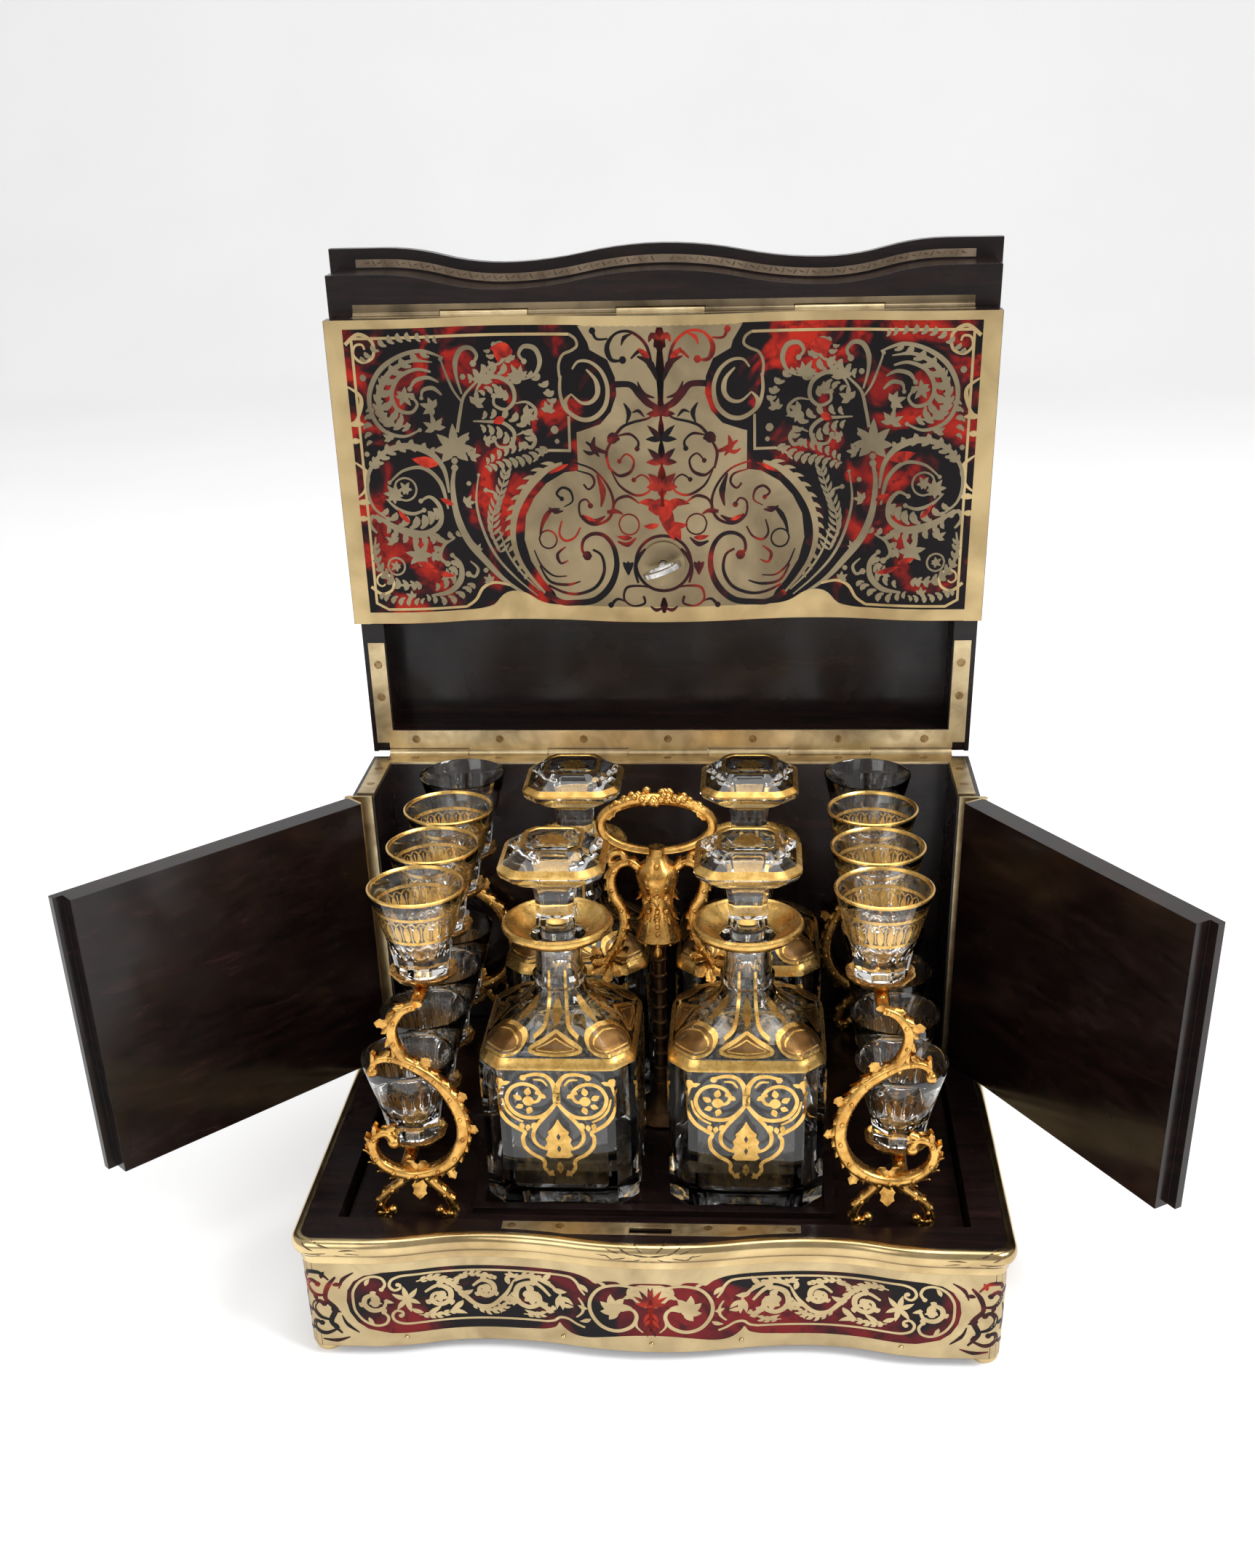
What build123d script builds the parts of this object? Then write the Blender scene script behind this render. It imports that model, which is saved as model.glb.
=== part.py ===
from build123d import *
from math import cos, radians, sin, sqrt
import os

# Antique liqueur cabinet, shown open: the lid stands up at the back with the front panel
# hanging from it, both side doors are ajar, and the tray with its decanters and glasses
# stands in the base. Millimetres, +Z up, front towards -Y. The origin is the centre of
# the base on the table.

os.makedirs("parts", exist_ok=True)

# Overall sizes
body_width = 324.0
body_height = 221.0
base_width = 333.0
base_depth = 240.0
base_height = 70.0
foot_height = 6.0
foot_radius = 7.0
foot_inset = 10.0
foot_round = 2.0
wall = 12.0
front_wall = 18.0

# Serpentine front: forward at the centre and at the corners, hollow between
wave_depth = 7.5
wave_hollow = 78.0
wave_bulge = 138.0

# Base
rim_thickness = 6.0
deck_thickness = 8.0
deck_height = 54.0
veneer = 1.2
roll_height = 14.0
roll_proud = 4.0
roll_round = 3.6
base_corner = 8.0

# Lid
frieze_height = 26.0
frieze_overhang = 2.4
rim_gap = 0.3
lid_board_thickness = 9.7
board_side_overhang = 3.0
board_front_overhang = 12.0
board_round = 3.5

# Front panel
panel_thickness = 14.0
panel_height = 148.5
panel_setback = 2.0
panel_gap = 0.3
marquetry = 1.0
lip_thickness = 4.0
lip_length = 5.0
lip_gap = 0.3

# Doors
door_hinge_y = 58.0
hinge_proud = 1.0
left_door_angle = 43.6
right_door_angle = 31.9
door_foot_gap = 0.6

# Strip hinges
leaf_thickness = 1.3
leaf_gap = 0.15
lid_knuckle_radius = 2.5
door_knuckle_radius = 2.2
panel_knuckle_radius = 2.0
lid_pin_radius = 1.3
small_pin_radius = 1.0
pin_clearance = 0.05
knuckle_clearance = 0.35
lid_hinge_half = 153.0
panel_hinge_half = 150.0
panel_leaf_width = 5.0
lid_knuckles = 7
door_knuckles = 5
panel_knuckles = 7

# Returns of the lid hinge along the stubs and the lid's sides
return_outer = 159.5
stub_return_front = 63.0
lid_return_end = 62.0
return_inner_gap = 0.6
return_lap = 6.0

# Screws
screw_head_radius = 2.2
screw_shank_radius = 1.0
screw_head = 1.0
screw_length = 4.5
screw_room = 0.03
rail_screw_steps = (46.0, 92.0, 138.0)
back_screw_line = -6.5
lid_screw_line = 8.0
return_screw_x = 155.0
return_screw_margins = (13.0, 10.0)
lid_return_screws = (32.0, 50.0)

# Lock
strike_length = 141.0
strike_width = 10.5
strike_front_margin = 2.5
strike_back_margin = 1.0
strike_screw_margin = 4.3
strike_screw_steps = (-66.0, -43.0, 27.0, 43.0, 66.0)
strike_thickness = 1.2
slot_width = 20.0
slot_thickness = 4.0
bolt_width = 16.0
bolt_thickness = 2.5
bolt_length = 22.0
bolt_depth = 5.0
bolt_room = 0.3
bolt_tip_gap = 1.0
lock_case_width = 34.0
lock_case_height = 40.0
lock_case_depth = 8.0
key_drop = 118.0
key_radius = 2.0
key_room = 0.3
key_bit_reach = 5.5
key_bit_height = 3.0
key_bow_length = 14.0
key_bow_width = 20.0
key_bow_band = 3.0
key_bow_thickness = 2.4
key_bow_tilt = 20.0
key_reach = 20.0
escutcheon_radius = 11.2
escutcheon_thickness = 2.0

# Tray
tray_margin = 2.0
tray_thickness = 8.0
seat_gap = 0.25
rail_height = 4.0
rail_width = 5.0

# Square decanters
decanter_size = 75.0
decanter_body_height = 81.0
decanter_corner = 7.0
decanter_wall = 5.0
decanter_floor = 9.0
decanter_spacing_x = 89.0
decanter_spacing_y = 95.0
decanter_room = 0.5
shoulder_size = 58.0
shoulder_corner = 14.0
shoulder_step = 9.0
shoulder_height = 20.0
neck_radius = 12.5
neck_corner = 0.96
waist_radius = 11.3
neck_height = 31.0
bore_radius = 8.0
lip_radius = 26.0
lip_height = 6.0
lip_edge = 2.0
stopper_size = 49.0
stopper_top_size = 30.0
stopper_foot_size = 30.0
stopper_belly_height = 8.0
stopper_head_height = 17.0
stopper_stem_height = 24.0
stopper_stem_radius = 9.5
stopper_plug_length = 20.0
plug_clearance = 0.3

# Glasses
glass_height = 43.0
glass_rim_radius = 22.3
glass_waist_radius = 15.0
glass_waist_height = 18.0
glass_foot_radius = 12.0
glass_wall = 1.5
glass_floor = 9.0
glass_spacing = 46.0
glasses_in_row = 4
upper_glass_x = 105.0
upper_glass_z = 185.0
lower_glass_x = 117.0
lower_glass_z = 96.0

# Gilt stands for the glasses
stand_inset = 8.0
stand_ball_radius = 3.2
seat_wall = 1.6
seat_floor = 2.4
seat_depth = 3.0
seat_clearance = 1.3
tier_width = 7.0
tier_thickness = 3.0

# Carrying handle in the middle of the tray
column_radius = 4.0
column_foot_radius = 6.3
column_foot_height = 3.0
vase_bottom = 165.0
vase_turns = ((9.5, 179.0), (6.0, 189.0), (10.5, 201.0))
vase_neck_radius = 4.5
vase_top = 213.5
arm_radius = 2.2
arm_ball = 1.5
ring_width = 58.0
ring_height = 30.0
ring_band = 5.0
ring_top = 243.0
crest_radius = 3.0

# Places that follow from the sizes
front = -base_depth / 2
back = base_depth / 2
body_half = body_width / 2
base_half = base_width / 2
inside_half = body_half - wall
well_front = front + front_wall
well_back = back - wall
rim_bottom = base_height - rim_thickness
roll_bottom = base_height - roll_height
hinge_y = back + hinge_proud
hinge_z = body_height
leaf_seat = hinge_z - leaf_gap - leaf_thickness
panel_front = front + panel_setback
panel_reach = hinge_y - (panel_front + panel_thickness)
panel_hinge_z = hinge_z + panel_reach
panel_top = panel_hinge_z - panel_gap
panel_bottom = panel_hinge_z - panel_height
panel_face = hinge_y - panel_thickness
bolt_closed_y = panel_front + panel_thickness - bolt_depth
bolt_y = hinge_y - bolt_depth
key_z = panel_hinge_z - key_drop
frieze_front = hinge_y - front + frieze_overhang
board_front = hinge_y - front + board_front_overhang
frieze_top = rim_gap + frieze_height
door_bottom = base_height + door_foot_gap
door_top = body_height - panel_gap
door_length = door_hinge_y - (panel_front + panel_thickness) - lip_gap
tray_width = 2 * (inside_half - tray_margin)
tray_depth = well_back - well_front - 2 * tray_margin
tray_y = (well_front + well_back) / 2
stand_half_depth = tray_depth / 2 - stand_inset
tray_top = deck_height + seat_gap + tray_thickness
decanter_z = tray_top + seat_gap
shoulder_z = decanter_z + decanter_body_height
neck_z = shoulder_z + shoulder_height
lip_z = neck_z + neck_height
mouth_z = lip_z + lip_height

# The open lid: sketches here run across and up from the hinge to the front edge, and
# rise from the rim towards the top board
lid_plane = Plane(origin=(0, hinge_y, hinge_z), x_dir=(-1, 0, 0), z_dir=(0, 1, 0))

# Strip hinge axes, each with its z along the pin
lid_lower_axis = Plane(
    origin=(-lid_hinge_half, hinge_y, hinge_z), x_dir=(0, -1, 0), z_dir=(1, 0, 0)
)
lid_upper_axis = Plane(
    origin=(-lid_hinge_half, hinge_y, hinge_z), x_dir=(0, 0, 1), z_dir=(1, 0, 0)
)
panel_lower_axis = Plane(
    origin=(-panel_hinge_half, hinge_y, panel_hinge_z), x_dir=(0, -1, 0), z_dir=(1, 0, 0)
)
panel_upper_axis = Plane(
    origin=(-panel_hinge_half, hinge_y, panel_hinge_z), x_dir=(0, 0, 1), z_dir=(1, 0, 0)
)


def write(piece, name):
    """Label a finished piece and write it under its name."""
    piece.part.label = name
    export_step(piece.part, f"parts/{name}.step")


def s_curve(start, end):
    """Two equal arcs from start to end, running along X at both ends."""
    middle = ((start[0] + end[0]) / 2, (start[1] + end[1]) / 2)
    way = 1 if end[0] > start[0] else -1
    TangentArc(start, middle, tangent=(way, 0))
    TangentArc(end, middle, tangent=(-way, 0))


def serpentine(half_width, edge, hollow):
    """The serpentine line from end to end. A negative hollow bends it the other way."""
    for side in (-1, 1):
        bulge = (side * wave_bulge, edge)
        trough = (side * wave_hollow, edge + hollow)
        Line((side * half_width, edge), bulge)
        s_curve(bulge, trough)
        s_curve(trough, (0, edge))


def serpentine_plate(half_width, edge, hollow, straight_edge, mode=Mode.ADD, corner=0.0):
    """A face with one serpentine edge, straight sides and a straight edge behind."""
    with BuildLine() as outline:
        serpentine(half_width - corner, edge, hollow)
        if corner:
            for side in (-1, 1):
                middle = side * (half_width - corner)
                ThreePointArc(
                    (middle, edge),
                    (middle + side * corner * sqrt(0.5), edge + corner * (1 - sqrt(0.5))),
                    (side * half_width, edge + corner),
                )
        Polyline(
            (-half_width, edge + corner),
            (-half_width, straight_edge),
            (half_width, straight_edge),
            (half_width, edge + corner),
        )
    make_face(outline.edges(), mode=mode)


def base_plate(proud=0.0, mode=Mode.ADD):
    """The base's outline in plan, or one that stands out from it all round the front and sides."""
    serpentine_plate(
        base_half + proud, front - proud, wave_depth, back, mode, base_corner + proud
    )


def rectangle_between(x0, x1, y0, y1, mode=Mode.ADD):
    """A rectangle given by its sides."""
    with Locations(((x0 + x1) / 2, (y0 + y1) / 2)):
        Rectangle(abs(x1 - x0), abs(y1 - y0), mode=mode)


def screws(plane, places, room=0.0, mode=Mode.ADD):
    """Countersunk screws driven into a plane, or with some room the holes for them."""
    with Locations(plane.offset(-screw_head)):
        with Locations(*places):
            Cone(
                screw_shank_radius + room,
                screw_head_radius + room,
                screw_head,
                align=(Align.CENTER, Align.CENTER, Align.MIN),
                mode=mode,
            )
            Cylinder(
                screw_shank_radius + room,
                screw_length,
                align=(Align.CENTER, Align.CENTER, Align.MAX),
                mode=mode,
            )


def screw_holes(plane, places):
    """Cut the holes for countersunk screws."""
    screws(plane, places, screw_room, Mode.SUBTRACT)


def hinge_leaf(axis, length, width, flip, knuckle_radius, count, first):
    """Add one leaf of a strip hinge, the knuckles it owns and the gaps between them."""
    pitch = length / count
    with BuildSketch(axis) as plate:
        rectangle_between(0, width, flip * leaf_gap, flip * (leaf_gap + leaf_thickness))
    extrude(plate.sketch, amount=length)
    for turn in range(count):
        own = turn % 2 == first
        spare = -knuckle_clearance / 2 if own else knuckle_clearance / 2
        with BuildSketch(axis.offset(turn * pitch - spare)) as knuckle:
            Circle(knuckle_radius if own else knuckle_radius + knuckle_clearance)
        extrude(
            knuckle.sketch,
            amount=pitch + 2 * spare,
            mode=Mode.ADD if own else Mode.SUBTRACT,
        )


def rod(axis, length, radius, mode=Mode.ADD):
    """A round rod along a hinge axis, or the bore or groove for one."""
    with BuildSketch(axis) as section:
        Circle(radius)
    extrude(section.sketch, amount=length, mode=mode)


def strike_shape(mode=Mode.ADD):
    """The strike plate's outline: a straight strip, narrowed where the front edge is hollow."""
    serpentine_plate(base_half, front + veneer + strike_front_margin, wave_depth, back)
    rectangle_between(
        -strike_length / 2,
        strike_length / 2,
        well_front - strike_width,
        well_front - strike_back_margin,
        Mode.INTERSECT,
    )


# Screw places
rail_steps = [0.0] + [side * step for side in (-1, 1) for step in rail_screw_steps]
stub_screw_rows = (
    stub_return_front + return_screw_margins[0],
    well_back - return_screw_margins[1],
)
stub_screws = [(side * return_screw_x, y) for side in (-1, 1) for y in stub_screw_rows]
strike_screws = [(x, well_front - strike_screw_margin) for x in strike_screw_steps]
lid_screw_places = [(x, lid_screw_line) for x in rail_steps]
lid_screw_places += [(side * return_screw_x, up) for side in (-1, 1) for up in lid_return_screws]
leaf_top = Plane.XY.offset(hinge_z - leaf_gap)
cabinet_leaf_screws = [(x, hinge_y + back_screw_line) for x in rail_steps] + stub_screws
lid_leaf_face = Plane(
    origin=(0, hinge_y + leaf_gap, hinge_z), x_dir=(1, 0, 0), z_dir=(0, -1, 0)
)
strike_top = Plane.XY.offset(base_height)

# Base: a frame of dark wood with a serpentine front
with BuildPart() as base_frame:
    with BuildSketch(Plane.XY.offset(foot_height)):
        base_plate(-veneer)
        rectangle_between(-inside_half, inside_half, well_front, well_back, Mode.SUBTRACT)
    extrude(amount=rim_bottom - foot_height)
write(base_frame, "base_frame")

# Base rim: the rosewood top of the base, round the well
with BuildPart() as base_rim:
    with BuildSketch(Plane.XY.offset(rim_bottom)):
        base_plate(-veneer)
        rectangle_between(-inside_half, inside_half, well_front, well_back, Mode.SUBTRACT)
        with Locations((0, bolt_closed_y)):
            Rectangle(slot_width, slot_thickness, mode=Mode.SUBTRACT)
    extrude(amount=rim_thickness)
    with BuildSketch(Plane.XY.offset(base_height)):
        strike_shape()
    extrude(amount=-strike_thickness, mode=Mode.SUBTRACT)
    screw_holes(strike_top, strike_screws)
write(base_rim, "base_rim")

# Strike plate in the rim, with the slot for the lock's bolt
with BuildPart() as strike_plate:
    with BuildSketch(Plane.XY.offset(base_height)):
        strike_shape()
        with Locations((0, bolt_closed_y)):
            Rectangle(slot_width, slot_thickness, mode=Mode.SUBTRACT)
    extrude(amount=-strike_thickness)
    screw_holes(strike_top, strike_screws)
write(strike_plate, "strike_plate")

# Deck: the board inside the base that carries the tray
with BuildPart() as base_deck:
    with BuildSketch(Plane.XY.offset(deck_height - deck_thickness)):
        rectangle_between(-inside_half, inside_half, well_front, well_back)
    extrude(amount=deck_thickness)
write(base_deck, "base_deck")

# Marquetry veneer on the front and the sides of the base
with BuildPart() as base_veneer:
    with BuildSketch(Plane.XY.offset(foot_height)):
        base_plate()
        base_plate(-veneer, Mode.SUBTRACT)
    extrude(amount=roll_bottom - foot_height)
write(base_veneer, "base_veneer")

# Brass roll moulding round the front and the sides
with BuildPart() as base_roll:
    with BuildSketch(Plane.XY.offset(roll_bottom)):
        base_plate(roll_proud)
    extrude(amount=roll_height)
    flat_edges = base_roll.edges().filter_by(lambda edge: abs(edge.tangent_at(0.5).Z) < 0.1)
    fillet(flat_edges.filter_by(lambda edge: edge.center().Y < back - 1), roll_round)
    with BuildSketch(Plane.XY.offset(roll_bottom)):
        base_plate(-veneer)
    extrude(amount=roll_height, mode=Mode.SUBTRACT)
write(base_roll, "base_roll")

# Four brass bun feet
foot_x = base_half - foot_radius
with BuildPart() as feet:
    with BuildSketch():
        with GridLocations(2 * foot_x, base_depth - 2 * foot_inset, 2, 2):
            Circle(foot_radius)
    extrude(amount=foot_height)
    fillet(feet.edges().group_by(Axis.Z)[0], foot_round)
write(feet, "feet")

# Back panel
with BuildPart() as back_panel:
    with BuildSketch(Plane.XY.offset(base_height)):
        rectangle_between(-inside_half, inside_half, well_back, back)
    extrude(amount=leaf_seat - base_height)
    rod(lid_lower_axis, 2 * lid_hinge_half, lid_knuckle_radius + knuckle_clearance, Mode.SUBTRACT)
    screw_holes(leaf_top, cabinet_leaf_screws)
write(back_panel, "back_panel")

# Side stubs behind the doors
stub_front = door_hinge_y + leaf_gap + leaf_thickness


def stub(side):
    """One fixed length of side wall, between the door's hinge and the back."""
    door_axis = Plane(origin=(side * (body_half + hinge_proud), door_hinge_y, base_height))
    groove_radius = door_knuckle_radius + knuckle_clearance
    with BuildPart() as piece:
        with BuildSketch(Plane.XY.offset(base_height)):
            rectangle_between(side * inside_half, side * body_half, stub_front, back)
        extrude(amount=leaf_seat - base_height)
        rod(
            lid_lower_axis,
            2 * lid_hinge_half,
            lid_knuckle_radius + knuckle_clearance,
            Mode.SUBTRACT,
        )
        rod(door_axis, body_height, groove_radius, Mode.SUBTRACT)
        screw_holes(leaf_top, cabinet_leaf_screws)
    return piece


write(stub(-1), "left_stub")
write(stub(1), "right_stub")

# Lower leaf of the lid's hinge, with returns along the tops of the stubs
with BuildPart() as cabinet_hinge_leaf:
    with BuildSketch(Plane.XY.offset(leaf_seat)):
        for side in (-1, 1):
            rectangle_between(
                side * (inside_half + return_inner_gap),
                side * return_outer,
                stub_return_front,
                well_back + return_lap,
            )
    extrude(amount=leaf_thickness)
    hinge_leaf(
        lid_lower_axis,
        2 * lid_hinge_half,
        wall + hinge_proud,
        1,
        lid_knuckle_radius,
        lid_knuckles,
        0,
    )
    rod(lid_lower_axis, 2 * lid_hinge_half, lid_pin_radius + pin_clearance, Mode.SUBTRACT)
    screw_holes(leaf_top, cabinet_leaf_screws)
write(cabinet_hinge_leaf, "cabinet_hinge_leaf")

# Hinge pin of the lid
with BuildPart() as lid_hinge_pin:
    rod(lid_lower_axis, 2 * lid_hinge_half, lid_pin_radius)
write(lid_hinge_pin, "lid_hinge_pin")

# Screws of the fixed hinge leaf and the strike plate
with BuildPart() as cabinet_screws:
    screws(leaf_top, cabinet_leaf_screws)
    screws(strike_top, strike_screws)
write(cabinet_screws, "cabinet_screws")

# Lid frame: four rails, the front one serpentine, with a rebate for the hinge leaf
leaf_rebate = leaf_gap + leaf_thickness
with BuildPart() as lid_frame:
    with BuildSketch(lid_plane.offset(rim_gap)):
        serpentine_plate(body_half, frieze_front, -wave_depth, hinge_proud)
        rectangle_between(
            -inside_half, inside_half, wall + hinge_proud, panel_reach, Mode.SUBTRACT
        )
    extrude(amount=frieze_height)
    with BuildSketch(lid_plane.offset(rim_gap)):
        rectangle_between(-lid_hinge_half, lid_hinge_half, 0, wall + hinge_proud)
        for side in (-1, 1):
            rectangle_between(side * inside_half, side * return_outer, 0, lid_return_end)
        rectangle_between(
            -panel_hinge_half, panel_hinge_half, panel_reach, panel_reach + panel_leaf_width
        )
    extrude(amount=leaf_rebate - rim_gap, mode=Mode.SUBTRACT)
    rod(lid_upper_axis, 2 * lid_hinge_half, lid_knuckle_radius + knuckle_clearance, Mode.SUBTRACT)
    rod(
        panel_upper_axis,
        2 * panel_hinge_half,
        panel_knuckle_radius + knuckle_clearance,
        Mode.SUBTRACT,
    )
    screw_holes(lid_leaf_face, lid_screw_places)
write(lid_frame, "lid_frame")

# Lid board with a rounded edge
with BuildPart() as lid_board:
    with BuildSketch(lid_plane.offset(frieze_top)):
        serpentine_plate(
            body_half + board_side_overhang, board_front, -wave_depth, hinge_proud
        )
    extrude(amount=lid_board_thickness)
    outer_face = lid_board.faces().sort_by(Axis.Y)[-1]
    fillet(outer_face.edges().filter_by(lambda edge: edge.center().Z > hinge_z + 2), board_round)
write(lid_board, "lid_board")

# Upper leaf of the lid's hinge, with returns up the sides of the lid
with BuildPart() as lid_hinge_leaf:
    with BuildSketch(lid_plane.offset(leaf_gap)):
        for side in (-1, 1):
            rectangle_between(
                side * (inside_half + return_inner_gap),
                side * return_outer,
                return_lap,
                lid_return_end,
            )
    extrude(amount=leaf_thickness)
    hinge_leaf(
        lid_upper_axis,
        2 * lid_hinge_half,
        wall + hinge_proud,
        -1,
        lid_knuckle_radius,
        lid_knuckles,
        1,
    )
    rod(lid_upper_axis, 2 * lid_hinge_half, lid_pin_radius + pin_clearance, Mode.SUBTRACT)
    screw_holes(lid_leaf_face, lid_screw_places)
write(lid_hinge_leaf, "lid_hinge_leaf")

# Screws of the lid's leaf
with BuildPart() as lid_screws:
    screws(lid_leaf_face, lid_screw_places)
write(lid_screws, "lid_screws")

# Leaf and pin at the lid's front edge for the front panel
with BuildPart() as lid_front_hinge_leaf:
    hinge_leaf(
        panel_upper_axis,
        2 * panel_hinge_half,
        panel_leaf_width,
        -1,
        panel_knuckle_radius,
        panel_knuckles,
        0,
    )
    rod(panel_upper_axis, 2 * panel_hinge_half, small_pin_radius)
write(lid_front_hinge_leaf, "lid_front_hinge_leaf")

# Leaf on the front panel's top edge
with BuildPart() as front_panel_hinge_leaf:
    hinge_leaf(
        panel_lower_axis,
        2 * panel_hinge_half,
        panel_leaf_width,
        1,
        panel_knuckle_radius,
        panel_knuckles,
        1,
    )
    rod(panel_lower_axis, 2 * panel_hinge_half, small_pin_radius + pin_clearance, Mode.SUBTRACT)
write(front_panel_hinge_leaf, "front_panel_hinge_leaf")

# Front panel: a dark board with a serpentine face
key_plane = Plane(origin=(0, hinge_y, key_z), x_dir=(1, 0, 0), z_dir=(0, -1, 0))
with BuildPart() as front_panel_board:
    with BuildSketch(Plane.XY.offset(panel_bottom)):
        serpentine_plate(body_half, panel_face + marquetry, wave_depth, hinge_y)
        for side in (-1, 1):
            rectangle_between(
                side * (body_half - lip_thickness - lip_gap),
                side * (body_half + 1),
                hinge_y - lip_length - lip_gap,
                hinge_y + 1,
                Mode.SUBTRACT,
            )
    extrude(amount=panel_top - panel_bottom)
    with BuildSketch(Plane.XY.offset(panel_hinge_z - leaf_rebate)):
        rectangle_between(
            -panel_hinge_half, panel_hinge_half, hinge_y - panel_leaf_width, hinge_y
        )
    extrude(amount=leaf_rebate, mode=Mode.SUBTRACT)
    rod(
        panel_lower_axis,
        2 * panel_hinge_half,
        panel_knuckle_radius + knuckle_clearance,
        Mode.SUBTRACT,
    )
    with BuildSketch(Plane.XY.offset(panel_bottom)):
        rectangle_between(
            -lock_case_width / 2, lock_case_width / 2, hinge_y - lock_case_depth, hinge_y
        )
    extrude(amount=lock_case_height, mode=Mode.SUBTRACT)
    rod(key_plane, panel_thickness, key_radius + key_room, Mode.SUBTRACT)
write(front_panel_board, "front_panel_board")

# Marquetry on the front panel
with BuildPart() as front_panel_marquetry:
    with BuildSketch(Plane.XY.offset(panel_bottom)):
        serpentine_plate(body_half, panel_face, wave_depth, hinge_y)
        serpentine_plate(
            body_half + 1, panel_face + marquetry, wave_depth, hinge_y + 1, Mode.SUBTRACT
        )
    extrude(amount=panel_top - panel_bottom)
    rod(key_plane, panel_thickness, key_radius + key_room, Mode.SUBTRACT)
write(front_panel_marquetry, "front_panel_marquetry")

# Round escutcheon, fitted to the curved face
with BuildPart() as escutcheon:
    with BuildSketch(key_plane.offset(panel_thickness - marquetry)):
        Circle(escutcheon_radius)
        Circle(key_radius + key_room, mode=Mode.SUBTRACT)
    extrude(amount=marquetry + escutcheon_thickness)
    with BuildSketch(Plane.XY.offset(panel_bottom)):
        serpentine_plate(body_half, panel_face, wave_depth, hinge_y)
    extrude(amount=panel_height, mode=Mode.SUBTRACT)
write(escutcheon, "escutcheon")

# Lock case let into the inner face of the front panel
with BuildPart() as lock_case:
    with BuildSketch(Plane.XY.offset(panel_bottom)):
        rectangle_between(
            -lock_case_width / 2, lock_case_width / 2, hinge_y - lock_case_depth, hinge_y
        )
    extrude(amount=lock_case_height)
    with BuildSketch(Plane.XY.offset(panel_bottom)):
        with Locations((0, bolt_y)):
            Rectangle(bolt_width + 2 * bolt_room, bolt_thickness + 2 * bolt_room)
    extrude(amount=bolt_tip_gap + bolt_length + bolt_room, mode=Mode.SUBTRACT)
    with BuildSketch(key_plane.offset(bolt_depth - bolt_thickness / 2 - bolt_room)):
        Circle(key_bit_reach + bolt_room)
    extrude(amount=bolt_thickness + 2 * bolt_room, mode=Mode.SUBTRACT)
    with BuildSketch(key_plane.offset(bolt_depth)):
        Circle(key_radius + key_room)
    extrude(amount=lock_case_depth, mode=Mode.SUBTRACT)
write(lock_case, "lock_case")

# Bolt, drawn back in the open cabinet
with BuildPart() as lock_bolt:
    with BuildSketch(Plane.XY.offset(panel_bottom + bolt_tip_gap)):
        with Locations((0, bolt_y)):
            Rectangle(bolt_width, bolt_thickness)
    extrude(amount=bolt_length)
write(lock_bolt, "lock_bolt")

# Key: an oval bow, a round shank and a bit inside the lock
bow_start = panel_thickness + key_reach - key_bow_length
with BuildPart() as key:
    bit_depth = bolt_depth - bolt_thickness / 2
    rod(key_plane.offset(bit_depth), bow_start - bit_depth + 1, key_radius)
    with BuildSketch(key_plane.offset(bit_depth)):
        with Locations((0, key_bit_reach / 2)):
            Rectangle(key_radius, key_bit_reach)
    extrude(amount=key_bit_height - bolt_room)
    bow_plane = Plane(
        origin=(0, panel_face - key_reach + key_bow_length / 2, key_z),
        x_dir=(0, 1, 0),
        z_dir=(-sin(radians(key_bow_tilt)), 0, cos(radians(key_bow_tilt))),
    )
    with BuildSketch(bow_plane):
        Ellipse(key_bow_length / 2, key_bow_width / 2)
        Ellipse(
            key_bow_length / 2 - key_bow_band,
            key_bow_width / 2 - key_bow_band,
            mode=Mode.SUBTRACT,
        )
    extrude(amount=key_bow_thickness / 2, both=True)
write(key, "key")


def door(side, angle):
    """One side door, turned open about its hinge, and its moving hinge leaf."""
    turn = radians(angle)
    hinge = (side * (body_half + hinge_proud), door_hinge_y)
    along = (side * sin(turn), -cos(turn), 0)
    door_plane = Plane(origin=(*hinge, door_bottom), x_dir=along, z_dir=(0, 0, 1))
    inward = -side
    height = door_top - door_bottom
    leaf_room = leaf_gap + leaf_thickness
    with BuildPart() as board:
        with BuildSketch(door_plane):
            rectangle_between(
                leaf_room, door_length, inward * hinge_proud, inward * (hinge_proud + wall)
            )
            rectangle_between(
                door_length,
                door_length + lip_length,
                inward * hinge_proud,
                inward * (hinge_proud + lip_thickness),
            )
            Circle(door_knuckle_radius + knuckle_clearance, mode=Mode.SUBTRACT)
        extrude(amount=height)
    inner = (-side * cos(turn), -sin(turn), 0)
    leaf_axis = Plane(origin=(*hinge, door_bottom), x_dir=inner, z_dir=(0, 0, 1))
    with BuildPart() as leaf:
        hinge_leaf(leaf_axis, height, wall, side, door_knuckle_radius, door_knuckles, 1)
        rod(leaf_axis, height, small_pin_radius + pin_clearance, Mode.SUBTRACT)
    return board, leaf


def fixed_door_leaf(side):
    """The leaf and pin on the stub's front edge."""
    hinge = (side * (body_half + hinge_proud), door_hinge_y)
    axis = Plane(origin=(*hinge, door_bottom), x_dir=(-side, 0, 0), z_dir=(0, 0, 1))
    height = door_top - door_bottom
    with BuildPart() as leaf:
        hinge_leaf(axis, height, wall, -side, door_knuckle_radius, door_knuckles, 0)
        rod(axis, height, small_pin_radius)
    return leaf


for side, name, angle in ((-1, "left", left_door_angle), (1, "right", right_door_angle)):
    board, leaf = door(side, angle)
    write(board, f"{name}_door")
    write(leaf, f"{name}_door_leaf")
    write(fixed_door_leaf(side), f"{name}_door_hinge_fixed")

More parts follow.
